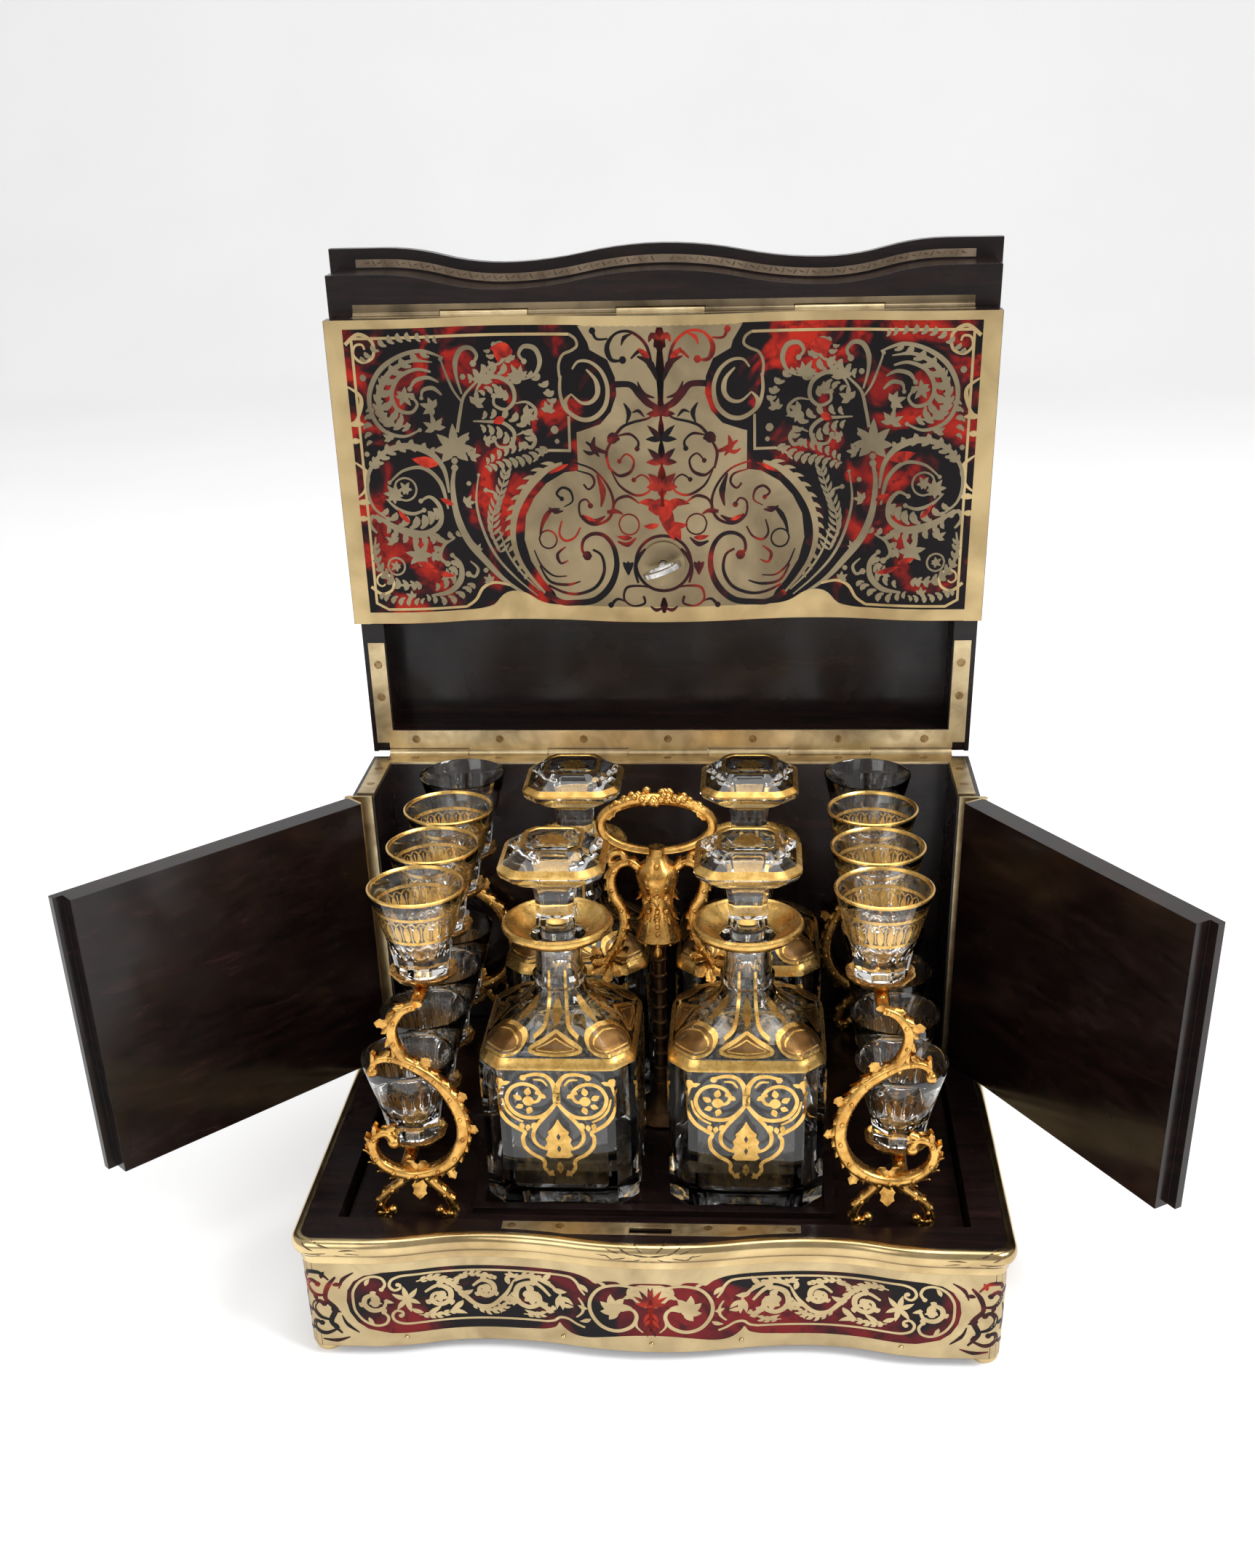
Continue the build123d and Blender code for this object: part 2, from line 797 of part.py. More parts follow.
# Tray: a board with a raised rail round the decanters
block_x = decanter_spacing_x + decanter_size + 2 * decanter_room
block_y = decanter_spacing_y + decanter_size + 2 * decanter_room
with BuildPart() as tray_board:
    with BuildSketch(Plane.XY.offset(deck_height + seat_gap)):
        with Locations((0, tray_y)):
            Rectangle(tray_width, tray_depth)
    extrude(amount=tray_thickness)
    with BuildSketch(Plane.XY.offset(tray_top)):
        with Locations((0, tray_y)):
            Rectangle(block_x + 2 * rail_width, block_y + 2 * rail_width)
            Rectangle(block_x, block_y, mode=Mode.SUBTRACT)
    extrude(amount=rail_height)
write(tray_board, "tray_board")


def decanter(x, y):
    """A square glass bottle with a sloping shoulder, a waisted neck and a wide lip."""
    with BuildPart() as bottle:
        with BuildSketch(Plane.XY.offset(decanter_z)):
            with Locations((x, y)):
                RectangleRounded(decanter_size, decanter_size, decanter_corner)
        extrude(amount=decanter_body_height)
        for inset, neck, mode in (
            (0, neck_radius, Mode.ADD),
            (decanter_wall, bore_radius, Mode.SUBTRACT),
        ):
            with BuildSketch(Plane.XY.offset(shoulder_z)):
                with Locations((x, y)):
                    RectangleRounded(
                        decanter_size - 2 * inset,
                        decanter_size - 2 * inset,
                        decanter_corner - inset / 2,
                    )
            with BuildSketch(Plane.XY.offset(shoulder_z + shoulder_step)):
                with Locations((x, y)):
                    RectangleRounded(
                        shoulder_size - 2 * inset,
                        shoulder_size - 2 * inset,
                        shoulder_corner - inset,
                    )
            with BuildSketch(Plane.XY.offset(neck_z)):
                with Locations((x, y)):
                    RectangleRounded(2 * neck, 2 * neck, neck_corner * neck)
            loft(ruled=True, mode=mode)
        with BuildSketch(Plane.XY.offset(decanter_z + decanter_floor)):
            with Locations((x, y)):
                RectangleRounded(
                    decanter_size - 2 * decanter_wall,
                    decanter_size - 2 * decanter_wall,
                    decanter_corner - decanter_wall / 2,
                )
        extrude(amount=decanter_body_height - decanter_floor, mode=Mode.SUBTRACT)
        with BuildSketch(Plane(origin=(x, y, 0), x_dir=(1, 0, 0), z_dir=(0, -1, 0))):
            with BuildLine():
                Polyline(
                    (bore_radius, neck_z - lip_edge),
                    (neck_radius, neck_z - lip_edge),
                    (waist_radius, neck_z + neck_height / 2),
                    (neck_radius, lip_z),
                    (lip_radius, mouth_z - lip_edge),
                    (lip_radius, mouth_z),
                    (bore_radius, mouth_z),
                    close=True,
                )
            make_face()
        revolve(axis=Axis((x, y, 0), (0, 0, 1)))
        with BuildSketch(Plane.XY.offset(neck_z - lip_edge)):
            with Locations((x, y)):
                Circle(bore_radius)
        extrude(amount=mouth_z - neck_z + 2 * lip_edge, mode=Mode.SUBTRACT)
    return bottle


def stopper(x, y):
    """A cut square head on a round stem, with a plug in the bottle's neck."""
    foot = mouth_z + seat_gap
    head = foot + stopper_stem_height
    with BuildPart() as piece:
        with BuildSketch(Plane.XY.offset(foot)):
            with Locations((x, y)):
                Circle(bore_radius - plug_clearance)
        extrude(amount=-stopper_plug_length)
        with BuildSketch(Plane.XY.offset(foot)):
            with Locations((x, y)):
                RegularPolygon(stopper_stem_radius, 8)
        extrude(amount=stopper_stem_height)
        for up, size in (
            (0, stopper_foot_size),
            (stopper_belly_height, stopper_size),
            (stopper_head_height, stopper_top_size),
        ):
            with BuildSketch(Plane.XY.offset(head + up)):
                with Locations((x, y)):
                    Rectangle(size, size)
        loft(ruled=True)
    return piece


places = [
    ("front_left", -1, -1),
    ("front_right", 1, -1),
    ("back_left", -1, 1),
    ("back_right", 1, 1),
]
for name, across, deep in places:
    x = across * decanter_spacing_x / 2
    y = tray_y + deep * decanter_spacing_y / 2
    write(decanter(x, y), f"decanter_{name}")
    write(stopper(x, y), f"stopper_{name}")


def glass(x, y, z):
    """A small flared glass with a thick foot."""
    with BuildPart() as piece:
        with BuildSketch(Plane(origin=(x, y, z), x_dir=(1, 0, 0), z_dir=(0, -1, 0))):
            with BuildLine():
                Polyline(
                    (0, 0),
                    (glass_foot_radius, 0),
                    (glass_waist_radius, glass_waist_height),
                    (glass_rim_radius, glass_height),
                    (glass_rim_radius - glass_wall, glass_height),
                    (glass_waist_radius - glass_wall, glass_waist_height),
                    (glass_foot_radius - glass_wall, glass_floor),
                    (0, glass_floor),
                    close=True,
                )
            make_face()
        revolve(axis=Axis((x, y, 0), (0, 0, 1)))
    return piece


glass_rows = (
    ("upper", upper_glass_x, upper_glass_z),
    ("lower", lower_glass_x, lower_glass_z),
)
first_glass_y = tray_y - (glasses_in_row - 1) / 2 * glass_spacing
row_places = [first_glass_y + step * glass_spacing for step in range(glasses_in_row)]
for side, name in ((-1, "left"), (1, "right")):
    for tier, across, height in glass_rows:
        for step, y in enumerate(row_places):
            write(glass(side * across, y, height), f"glass_{name}_{tier}_{step + 1}")

# Scrolls at a stand's ends: bar radius, then places out from the centre and up
main_scroll = [
    (122, 151),
    (110, 149),
    (96, 138),
    (87, 118),
    (93, 99),
    (110, 89.5),
    (127, 95),
    (131, 109),
]
scrolls = (
    (2.1, [(105, 181), (113, 176), (117.5, 166), (114, 155), (107, 149)]),
    (2.4, main_scroll),
    (1.9, [(108, 91), (104, 84), (98, 76), (97, 66)]),
    (1.9, [(114, 91), (119, 84), (127, 77), (131, 66)]),
)
scroll_ends = [main_scroll[0], main_scroll[-1], (97, tray_top + stand_ball_radius)]
scroll_ends.append((131, tray_top + stand_ball_radius))


def stand(side):
    """A gilt stand: scrolled ends joined by two tiers of round seats for the glasses."""
    with BuildPart() as piece:
        for deep in (-1, 1):
            y = tray_y + deep * stand_half_depth
            for bar_radius, scroll in scrolls:
                with BuildLine() as path:
                    Spline(*[(side * out, y, up) for out, up in scroll])
                with BuildSketch(Plane(origin=path.line @ 0, z_dir=path.line % 0)):
                    Circle(bar_radius)
                sweep()
            with Locations(*[(side * out, y, up) for out, up in scroll_ends]):
                Sphere(stand_ball_radius)
        for tier, across, height in glass_rows:
            floor = height - seat_gap - seat_floor
            with BuildSketch(Plane.XY.offset(floor - tier_thickness)):
                with Locations((side * across, tray_y)):
                    Rectangle(tier_width, 2 * stand_half_depth)
            extrude(amount=tier_thickness)
            outer_radius = glass_foot_radius + seat_clearance + seat_wall
            with BuildSketch(Plane.XY.offset(floor)):
                with Locations(*[(side * across, y) for y in row_places]):
                    Circle(outer_radius)
            extrude(amount=seat_floor + seat_depth)
            with BuildSketch(Plane.XY.offset(floor + seat_floor)):
                with Locations(*[(side * across, y) for y in row_places]):
                    Circle(outer_radius - seat_wall)
            extrude(amount=seat_depth, mode=Mode.SUBTRACT)
    return piece


write(stand(-1), "left_glass_stand")
write(stand(1), "right_glass_stand")

# Carrying handle: a column, a vase with scrolled arms and an oval ring
arm_scroll = [(5, 200), (12, 209), (20, 204), (22, 192), (17, 178), (19, 166), (25, 155)]
with BuildPart() as tray_handle:
    with BuildSketch(Plane.XY.offset(tray_top)):
        with Locations((0, tray_y)):
            Circle(column_foot_radius)
    extrude(amount=column_foot_height)
    handle_plane = Plane(origin=(0, tray_y, 0), x_dir=(1, 0, 0), z_dir=(0, -1, 0))
    with BuildSketch(handle_plane):
        with BuildLine():
            Polyline(
                (0, tray_top),
                (column_radius, tray_top),
                (column_radius, vase_bottom),
                *vase_turns,
                (vase_neck_radius, vase_top),
                (0, vase_top),
                close=True,
            )
        make_face()
    revolve(axis=Axis((0, tray_y, 0), (0, 0, 1)))
    for side in (-1, 1):
        with BuildLine() as path:
            Spline(*[(side * out, tray_y, up) for out, up in arm_scroll])
        with BuildSketch(Plane(origin=path.line @ 0, z_dir=path.line % 0)):
            Circle(arm_radius)
        sweep()
        with Locations((side * arm_scroll[-1][0], tray_y, arm_scroll[-1][1])):
            Sphere(arm_ball * arm_radius)
    with BuildSketch(handle_plane):
        with Locations((0, ring_top - ring_height / 2)):
            Ellipse(ring_width / 2, ring_height / 2)
            Ellipse(ring_width / 2 - ring_band, ring_height / 2 - ring_band, mode=Mode.SUBTRACT)
    extrude(amount=ring_band / 2, both=True)
    with Locations((0, tray_y, ring_top)):
        Sphere(crest_radius)
write(tray_handle, "tray_handle")
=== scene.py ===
import math
import random

import bmesh
import bpy
from mathutils import Matrix, Vector


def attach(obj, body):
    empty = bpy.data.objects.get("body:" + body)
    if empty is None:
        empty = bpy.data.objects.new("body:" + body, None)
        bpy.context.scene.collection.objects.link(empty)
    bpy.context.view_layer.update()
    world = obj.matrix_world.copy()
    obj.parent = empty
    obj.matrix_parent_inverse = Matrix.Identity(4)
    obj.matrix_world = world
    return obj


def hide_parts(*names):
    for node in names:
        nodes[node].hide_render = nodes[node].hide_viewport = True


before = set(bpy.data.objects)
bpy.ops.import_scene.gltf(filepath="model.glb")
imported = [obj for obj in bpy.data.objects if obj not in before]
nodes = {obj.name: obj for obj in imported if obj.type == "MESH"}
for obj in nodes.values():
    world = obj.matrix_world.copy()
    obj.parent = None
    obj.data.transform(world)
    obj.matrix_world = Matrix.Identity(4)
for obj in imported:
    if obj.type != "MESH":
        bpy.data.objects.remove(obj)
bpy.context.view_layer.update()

# Lengths are written in millimetres and placed in metres; x runs to the right, y to the back, z up
MM = 0.001
HALF_BASE = 166.5
FRONT_Y = -120.0
BACK_Y = 120.0

# Finish slots of the record
MARQUETRY = "boulle_marquetry"
MOULDING = "moulding_brass"

random.seed(7)


# Camera, at the photograph's viewing angle
CAMERA_PLACE = (47.2, -757.9, 550.3)
CAMERA_YAW = math.radians(-4.035)
CAMERA_PITCH = math.radians(28.69)
CAMERA_ROLL = math.radians(-1.463)
LENS_MM = 39.17
SHIFT_X = -0.0127
SHIFT_Y = 0.1369


def place_camera():
    ahead = Vector((
        math.sin(CAMERA_YAW) * math.cos(CAMERA_PITCH),
        math.cos(CAMERA_YAW) * math.cos(CAMERA_PITCH),
        -math.sin(CAMERA_PITCH),
    ))
    level = ahead.cross(Vector((0, 0, 1))).normalized()
    upright = level.cross(ahead)
    right = math.cos(CAMERA_ROLL) * level + math.sin(CAMERA_ROLL) * upright
    up = -math.sin(CAMERA_ROLL) * level + math.cos(CAMERA_ROLL) * upright
    data = bpy.data.cameras.new("camera")
    data.lens = LENS_MM
    data.shift_x = SHIFT_X
    data.shift_y = SHIFT_Y
    data.clip_start = 0.05
    data.clip_end = 30.0
    camera = bpy.data.objects.new("camera", data)
    axes = Matrix((right, up, -ahead)).transposed().to_4x4()
    camera.matrix_world = Matrix.Translation(Vector(CAMERA_PLACE) * MM) @ axes
    bpy.context.scene.collection.objects.link(camera)
    bpy.context.scene.camera = camera


# Materials
class Look:
    """A material built from nodes; its patterns follow the coordinates of the object that wears it."""

    def __init__(self, name, **settings):
        self.material = bpy.data.materials.new(name)
        self.material.use_nodes = True
        self.tree = self.material.node_tree
        self.shader = self.tree.nodes["Principled BSDF"]
        self.place = self.node("ShaderNodeTexCoord").outputs["Object"]
        for socket, value in settings.items():
            self.shader.inputs[socket.replace("_", " ")].default_value = value

    def node(self, kind, **settings):
        made = self.tree.nodes.new(kind)
        for name, value in settings.items():
            setattr(made, name, value)
        return made

    def join(self, output, socket):
        self.tree.links.new(output, socket)

    def noise(self, scale, detail=3.0, stretch=(1, 1, 1), distortion=0.0):
        mapping = self.node("ShaderNodeMapping")
        mapping.inputs["Scale"].default_value = stretch
        self.join(self.place, mapping.inputs["Vector"])
        made = self.node("ShaderNodeTexNoise")
        made.inputs["Scale"].default_value = scale
        made.inputs["Detail"].default_value = detail
        made.inputs["Distortion"].default_value = distortion
        self.join(mapping.outputs["Vector"], made.inputs["Vector"])
        return made.outputs["Fac"]

    def ramp(self, factor, stops):
        made = self.node("ShaderNodeValToRGB")
        points = made.color_ramp.elements
        while len(points) < len(stops):
            points.new(0.5)
        for point, (position, colour) in zip(points, stops):
            point.position = position
            point.color = (*colour, 1.0)
        self.join(factor, made.inputs["Fac"])
        return made.outputs["Color"]

    def spread(self, factor, low, high, start=0.3, end=0.7):
        """factor's range from start to end becomes low to high."""
        made = self.node("ShaderNodeMapRange")
        for socket, value in zip(("From Min", "From Max", "To Min", "To Max"), (start, end, low, high)):
            made.inputs[socket].default_value = value
        self.join(factor, made.inputs["Value"])
        return made.outputs["Result"]

    def blend(self, factor, one, other, mode="MIX"):
        made = self.node("ShaderNodeMix", data_type="RGBA", blend_type=mode)
        if isinstance(factor, float):
            made.inputs["Factor"].default_value = factor
        else:
            self.join(factor, made.inputs["Factor"])
        colours = [socket for socket in made.inputs if socket.type == "RGBA"]
        for socket, value in zip(colours, (one, other)):
            if isinstance(value, tuple):
                socket.default_value = (*value, 1.0)
            else:
                self.join(value, socket)
        return next(output for output in made.outputs if output.type == "RGBA")

    def colour(self, output):
        self.join(output, self.shader.inputs["Base Color"])

    def rough(self, output):
        self.join(output, self.shader.inputs["Roughness"])

    def bump(self, height, strength, depth_mm, edge_mm=0.0):
        made = self.node("ShaderNodeBump")
        made.inputs["Strength"].default_value = strength
        made.inputs["Distance"].default_value = depth_mm * MM
        self.join(height, made.inputs["Height"])
        if edge_mm:
            soft = self.node("ShaderNodeBevel", samples=3)
            soft.inputs["Radius"].default_value = edge_mm * MM
            self.join(soft.outputs["Normal"], made.inputs["Normal"])
        self.join(made.outputs["Normal"], self.shader.inputs["Normal"])


def rosewood(name, stretch, roughness=(0.2, 0.34)):
    """French-polished rosewood, nearly black, with fine darker figure along its length."""
    look = Look(name, Specular_IOR_Level=0.28, Coat_Weight=0.08, Coat_Roughness=0.12)
    figure = look.noise(1.0, 6.0, stretch, 0.9)
    pores = look.noise(6.0, 3.0, stretch)
    dark, warm, plum = (0.0028, 0.0016, 0.0018), (0.0115, 0.0048, 0.0042), (0.022, 0.0095, 0.0078)
    tone = look.ramp(figure, ((0.30, dark), (0.58, warm), (0.76, plum)))
    look.colour(look.blend(look.spread(pores, 0.0, 0.7, 0.45, 0.75), tone, dark))
    look.rough(look.spread(look.noise(45.0), *roughness))
    look.bump(pores, 0.06, 0.1, 0.35)
    return look.material


def brass(name, pale, deep, roughness, scale=60.0, dent=0.08, edge_mm=0.3, tarnish=None):
    """Worked brass: a little uneven in tone, with fine scratches and a soft edge."""
    look = Look(name, Metallic=1.0)
    cloud = look.noise(scale, 5.0, distortion=0.6)
    tone = look.ramp(cloud, ((0.32, deep), (0.62, pale)))
    if tarnish:
        patches = look.spread(look.noise(scale * 0.7, 4.0, distortion=1.2), 0.0, 0.7, 0.5, 0.78)
        tone = look.blend(patches, tone, tarnish)
    look.colour(tone)
    look.rough(look.spread(look.noise(scale * 4, 4.0), *roughness))
    look.bump(look.noise(scale * 12, 4.0, (1, 1, 0.4)), dent, 0.12, edge_mm)
    return look.material


def tortoiseshell(name, scale=40.0, red=(0.17, 0.007, 0.006), flame=(0.38, 0.018, 0.008), edge=0.54):
    """Red and black mottled shell under polish; edge is where black turns to red."""
    look = Look(name, Specular_IOR_Level=0.14)
    mottle = look.noise(scale, 3.0, distortion=0.7)
    fleck = look.noise(scale * 6, 3.0, distortion=0.5)
    black, brown = (0.005, 0.0035, 0.0045), (0.045, 0.006, 0.007)
    tone = look.ramp(mottle, ((edge - 0.05, black), (edge - 0.01, brown), (edge + 0.02, red),
                              (edge + 0.12, flame)))
    look.colour(look.blend(look.spread(fleck, 0.0, 0.7, 0.52, 0.7), tone, black))
    look.rough(look.spread(look.noise(120.0), 0.26, 0.4))
    look.bump(fleck, 0.04, 0.1)
    return look.material


def crystal(name, tint=(0.97, 0.985, 0.98)):
    """Clear lead crystal, with a trace of unevenness from cutting and polish."""
    look = Look(name, Transmission_Weight=1.0, IOR=1.53, Specular_IOR_Level=0.6)
    cloud = look.noise(35.0, 2.0)
    look.colour(look.ramp(cloud, ((0.2, tint), (0.8, (1.0, 1.0, 1.0)))))
    look.rough(look.spread(look.noise(150.0, 3.0), 0.0, 0.05))
    look.bump(look.noise(90.0, 2.0), 0.02, 0.1)
    return look.material


def steel(name):
    look = Look(name, Metallic=1.0)
    cloud = look.noise(160.0, 4.0)
    look.colour(look.ramp(cloud, ((0.3, (0.42, 0.41, 0.40)), (0.65, (0.80, 0.79, 0.77)))))
    look.rough(look.spread(look.noise(400.0), 0.16, 0.34))
    look.bump(look.noise(900.0, 3.0), 0.08, 0.1, 0.25)
    return look.material


wood_across = rosewood("rosewood_across", (14, 170, 170))
wood_upright = rosewood("rosewood_upright", (170, 170, 16))
wood_doors = rosewood("rosewood_doors", (40, 40, 190), (0.16, 0.28))
roll_brass = brass("roll_brass", (0.70, 0.54, 0.28), (0.42, 0.30, 0.14), (0.14, 0.26), 24.0, 0.04, 0.3,
                   (0.30, 0.20, 0.10))
strip_brass = brass("strip_brass", (0.70, 0.56, 0.33), (0.50, 0.38, 0.21), (0.28, 0.42), 70.0, 0.06,
                    0.3, (0.30, 0.21, 0.12))
# the front panel's ground and scrollwork wear darker copies of the border's brass: painted shade for the
# duller middle of the panel
shaded_inlay_brass = brass("shaded_inlay_brass", (0.36, 0.28, 0.165), (0.20, 0.155, 0.093), (0.36, 0.5), 26.0, 0.03, 0.0)
shaded_field_brass = brass("shaded_field_brass", (0.33, 0.27, 0.17), (0.16, 0.13, 0.085), (0.36, 0.5), 20.0, 0.03, 0.0)
border_brass = brass("border_brass", (0.60, 0.45, 0.23), (0.40, 0.29, 0.14), (0.3, 0.44), 26.0, 0.03, 0.0)
base_brass = brass("base_brass", (0.52, 0.41, 0.23), (0.36, 0.27, 0.15), (0.3, 0.44), 40.0, 0.03, 0.0)
screw_brass = brass("screw_brass", (0.42, 0.28, 0.13), (0.20, 0.12, 0.05), (0.3, 0.45), 300.0, 0.1)
# near-black bronze: painted shade for the handle's column, which stands in shadow
shadowed_bronze = brass("shadowed_bronze", (0.10, 0.055, 0.025), (0.04, 0.02, 0.01), (0.35, 0.5), 150.0, 0.1, 0.0)
bronze = brass("gilt_bronze", (0.76, 0.44, 0.12), (0.44, 0.21, 0.045), (0.2, 0.36), 150.0, 0.2, 0.0,
               (0.17, 0.06, 0.015))
gold_leaf = brass("gold_leaf", (0.78, 0.50, 0.16), (0.55, 0.32, 0.08), (0.22, 0.38), 190.0, 0.06, 0.0)
shell = tortoiseshell("tortoiseshell")
base_shell = tortoiseshell("base_tortoiseshell", 22.0, (0.085, 0.006, 0.010), (0.17, 0.010, 0.012), 0.5)
decanter_glass = crystal("decanter_crystal")
tumbler_glass = crystal("glass_crystal")
key_metal = steel("key_steel")


def cut_shell(name, scale, stops):
    """Shell sawn out for the small pieces of the drawing."""
    look = Look(name, Specular_IOR_Level=0.16)
    look.colour(look.ramp(look.noise(scale, 3.0, distortion=0.8), stops))
    look.rough(look.spread(look.noise(150.0), 0.26, 0.42))
    look.bump(look.noise(300.0), 0.04, 0.1)
    return look.material


dark_shell = cut_shell("dark_shell", 30.0, ((0.44, (0.005, 0.0035, 0.0045)), (0.56, (0.05, 0.006, 0.007)),
                                            (0.68, (0.36, 0.024, 0.01))))
red_shell = cut_shell("red_shell", 140.0, ((0.36, (0.14, 0.009, 0.007)), (0.55, (0.40, 0.022, 0.010)),
                                           (0.72, (0.56, 0.05, 0.014))))
grey_strip = cut_shell("grey_strip", 60.0, ((0.35, (0.13, 0.095, 0.065)), (0.65, (0.24, 0.18, 0.125))))
engraved = cut_shell("engraving", 200.0, ((0.4, (0.05, 0.03, 0.015)), (0.6, (0.16, 0.10, 0.05))))
# a darker gold: the amber fill of the decanters' cells, and painted shade on the gilding of the lower glasses
amber_and_shaded_gilt = brass("amber_and_shaded_gilding", (0.27, 0.145, 0.05), (0.15, 0.075, 0.025), (0.3, 0.45), 120.0, 0.05, 0.0)
panel_hinge_brass = brass("panel_hinge_brass", (0.30, 0.23, 0.14), (0.12, 0.09, 0.055), (0.3, 0.45), 40.0,
                          0.06)

# What the solids wear: by their name, or else by a word in it, or else the plain wood
LOOK_OF_NODE = {
    "left_stub": wood_upright, "right_stub": wood_upright, "left_door": wood_doors, "right_door": wood_doors,
    "base_roll": roll_brass, "feet": roll_brass, "lid_front_hinge_leaf": panel_hinge_brass,
    "strike_plate": strip_brass, "lock_case": strip_brass, "lock_bolt": strip_brass,
    "escutcheon": shaded_inlay_brass,
    "front_panel_marquetry": shell, "base_veneer": base_shell, "key": key_metal,
}
LOOK_OF_WORD = {"hinge": strip_brass, "leaf": strip_brass, "screws": screw_brass}
for name, node in nodes.items():
    by_word = [look for word, look in LOOK_OF_WORD.items() if word in name]
    look = LOOK_OF_NODE.get(name, (by_word + [wood_across])[0])
    for slot in node.material_slots:
        slot.material = look


# Shapes
CAST_ANGLE = 50.0
CRYSTAL_ANGLE = 22.0
TUMBLER_ANGLE = 24.0
GILDING_ANGLE = 40.0


def mesh_from(name, work, look, smooth=True):
    """A mesh in metres from one worked in millimetres."""
    mesh = bpy.data.meshes.new(name)
    for face in work.faces:
        face.smooth = smooth
    work.to_mesh(mesh)
    work.free()
    mesh.transform(Matrix.Scale(MM, 4))
    mesh.materials.append(look)
    return mesh


def piece(name, work, look, body, smooth_angle, at=(0, 0, 0)):
    """A piece that rides on its body, its edges sharp above the angle; without an angle it stays flat."""
    mesh = mesh_from(name, work, look, smooth_angle > 0)
    mesh.set_sharp_from_angle(angle=math.radians(smooth_angle))
    return place_mesh(name, mesh, body, at)


def place_mesh(name, mesh, body, at):
    """An object with the mesh, given to its body."""
    made = bpy.data.objects.new(name, mesh)
    made.location = Vector(at) * MM
    bpy.context.scene.collection.objects.link(made)
    bpy.context.view_layer.update()
    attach(made, body)
    return made


def smooth(points, step=1.2):
    """A smooth line through the points, 2-D or 3-D."""
    padded = [points[0], *points, points[-1]]
    line = []
    for a, b, c, d in zip(padded, padded[1:], padded[2:], padded[3:]):
        count = max(2, math.ceil(math.dist(b, c) / step))
        for i in range(count):
            t = i / count
            line.append(tuple(
                0.5 * (2 * q + (r - p) * t + (2 * p - 5 * q + 4 * r - s) * t ** 2
                       + (3 * q - p - 3 * r + s) * t ** 3)
                for p, q, r, s in zip(a, b, c, d)
            ))
    line.append(tuple(points[-1]))
    return line


def curl(x, z, radius, start, turns, inner=0.2):
    """A spiral from the radius inwards; start in degrees, turns counter-clockwise if positive."""
    count = max(8, math.ceil(abs(turns) * 5))
    spiral = []
    for i in range(count + 1):
        t = i / count
        angle = math.radians(start) + turns * math.tau * t
        reach = radius * ((1 - t) ** 0.85 * (1 - inner) + inner)
        spiral.append((x + reach * math.cos(angle), z + reach * math.sin(angle)))
    return spiral


def between(values, t):
    """The value at t from 0 to 1 along evenly spaced values."""
    if len(values) == 1:
        return values[0]
    step = t * (len(values) - 1)
    i = min(int(step), len(values) - 2)
    return values[i] + (values[i + 1] - values[i]) * (step - i)


def bent(x, z, angle, length, bend, steps):
    """A line from x, z that turns by bend degrees along its length."""
    line = [(x, z)]
    for i in range(steps):
        turn = math.radians(angle + bend * (i + 0.5) / steps)
        x, z = x + length / steps * math.cos(turn), z + length / steps * math.sin(turn)
        line.append((x, z))
    return line


def heading(before, after):
    """The direction from one point to another, in degrees."""
    return math.degrees(math.atan2(after[1] - before[1], after[0] - before[0]))


def around(line, i):
    """The points before and after point i, or the end itself."""
    return line[max(i - 1, 0)], line[min(i + 1, len(line) - 1)]


def many(draw, rows, *rest):
    """Draws once for each row of arguments."""
    for row in rows:
        draw(*row, *rest)


# No two strips of sheet may coincide where they cross: each is lifted by a step, in turns
LIFT_STEP = 0.002
LIFT_TURNS = 40
# widths along a leaf, a hooked leaf and a dot, as parts of their own, and the width of a tip in millimetres
LEAF_WIDTHS = (0.15, 0.75, 1.0, 0.85, 0.5)
LEAF_TIP = 0.02
LOBE_WIDTHS = (0.3, 0.5, 0.8, 1.0, 0.75)
LOBE_TIP = 0.1
DOT_WIDTHS = (0.3, 1.7, 2.0, 1.7, 0.3)


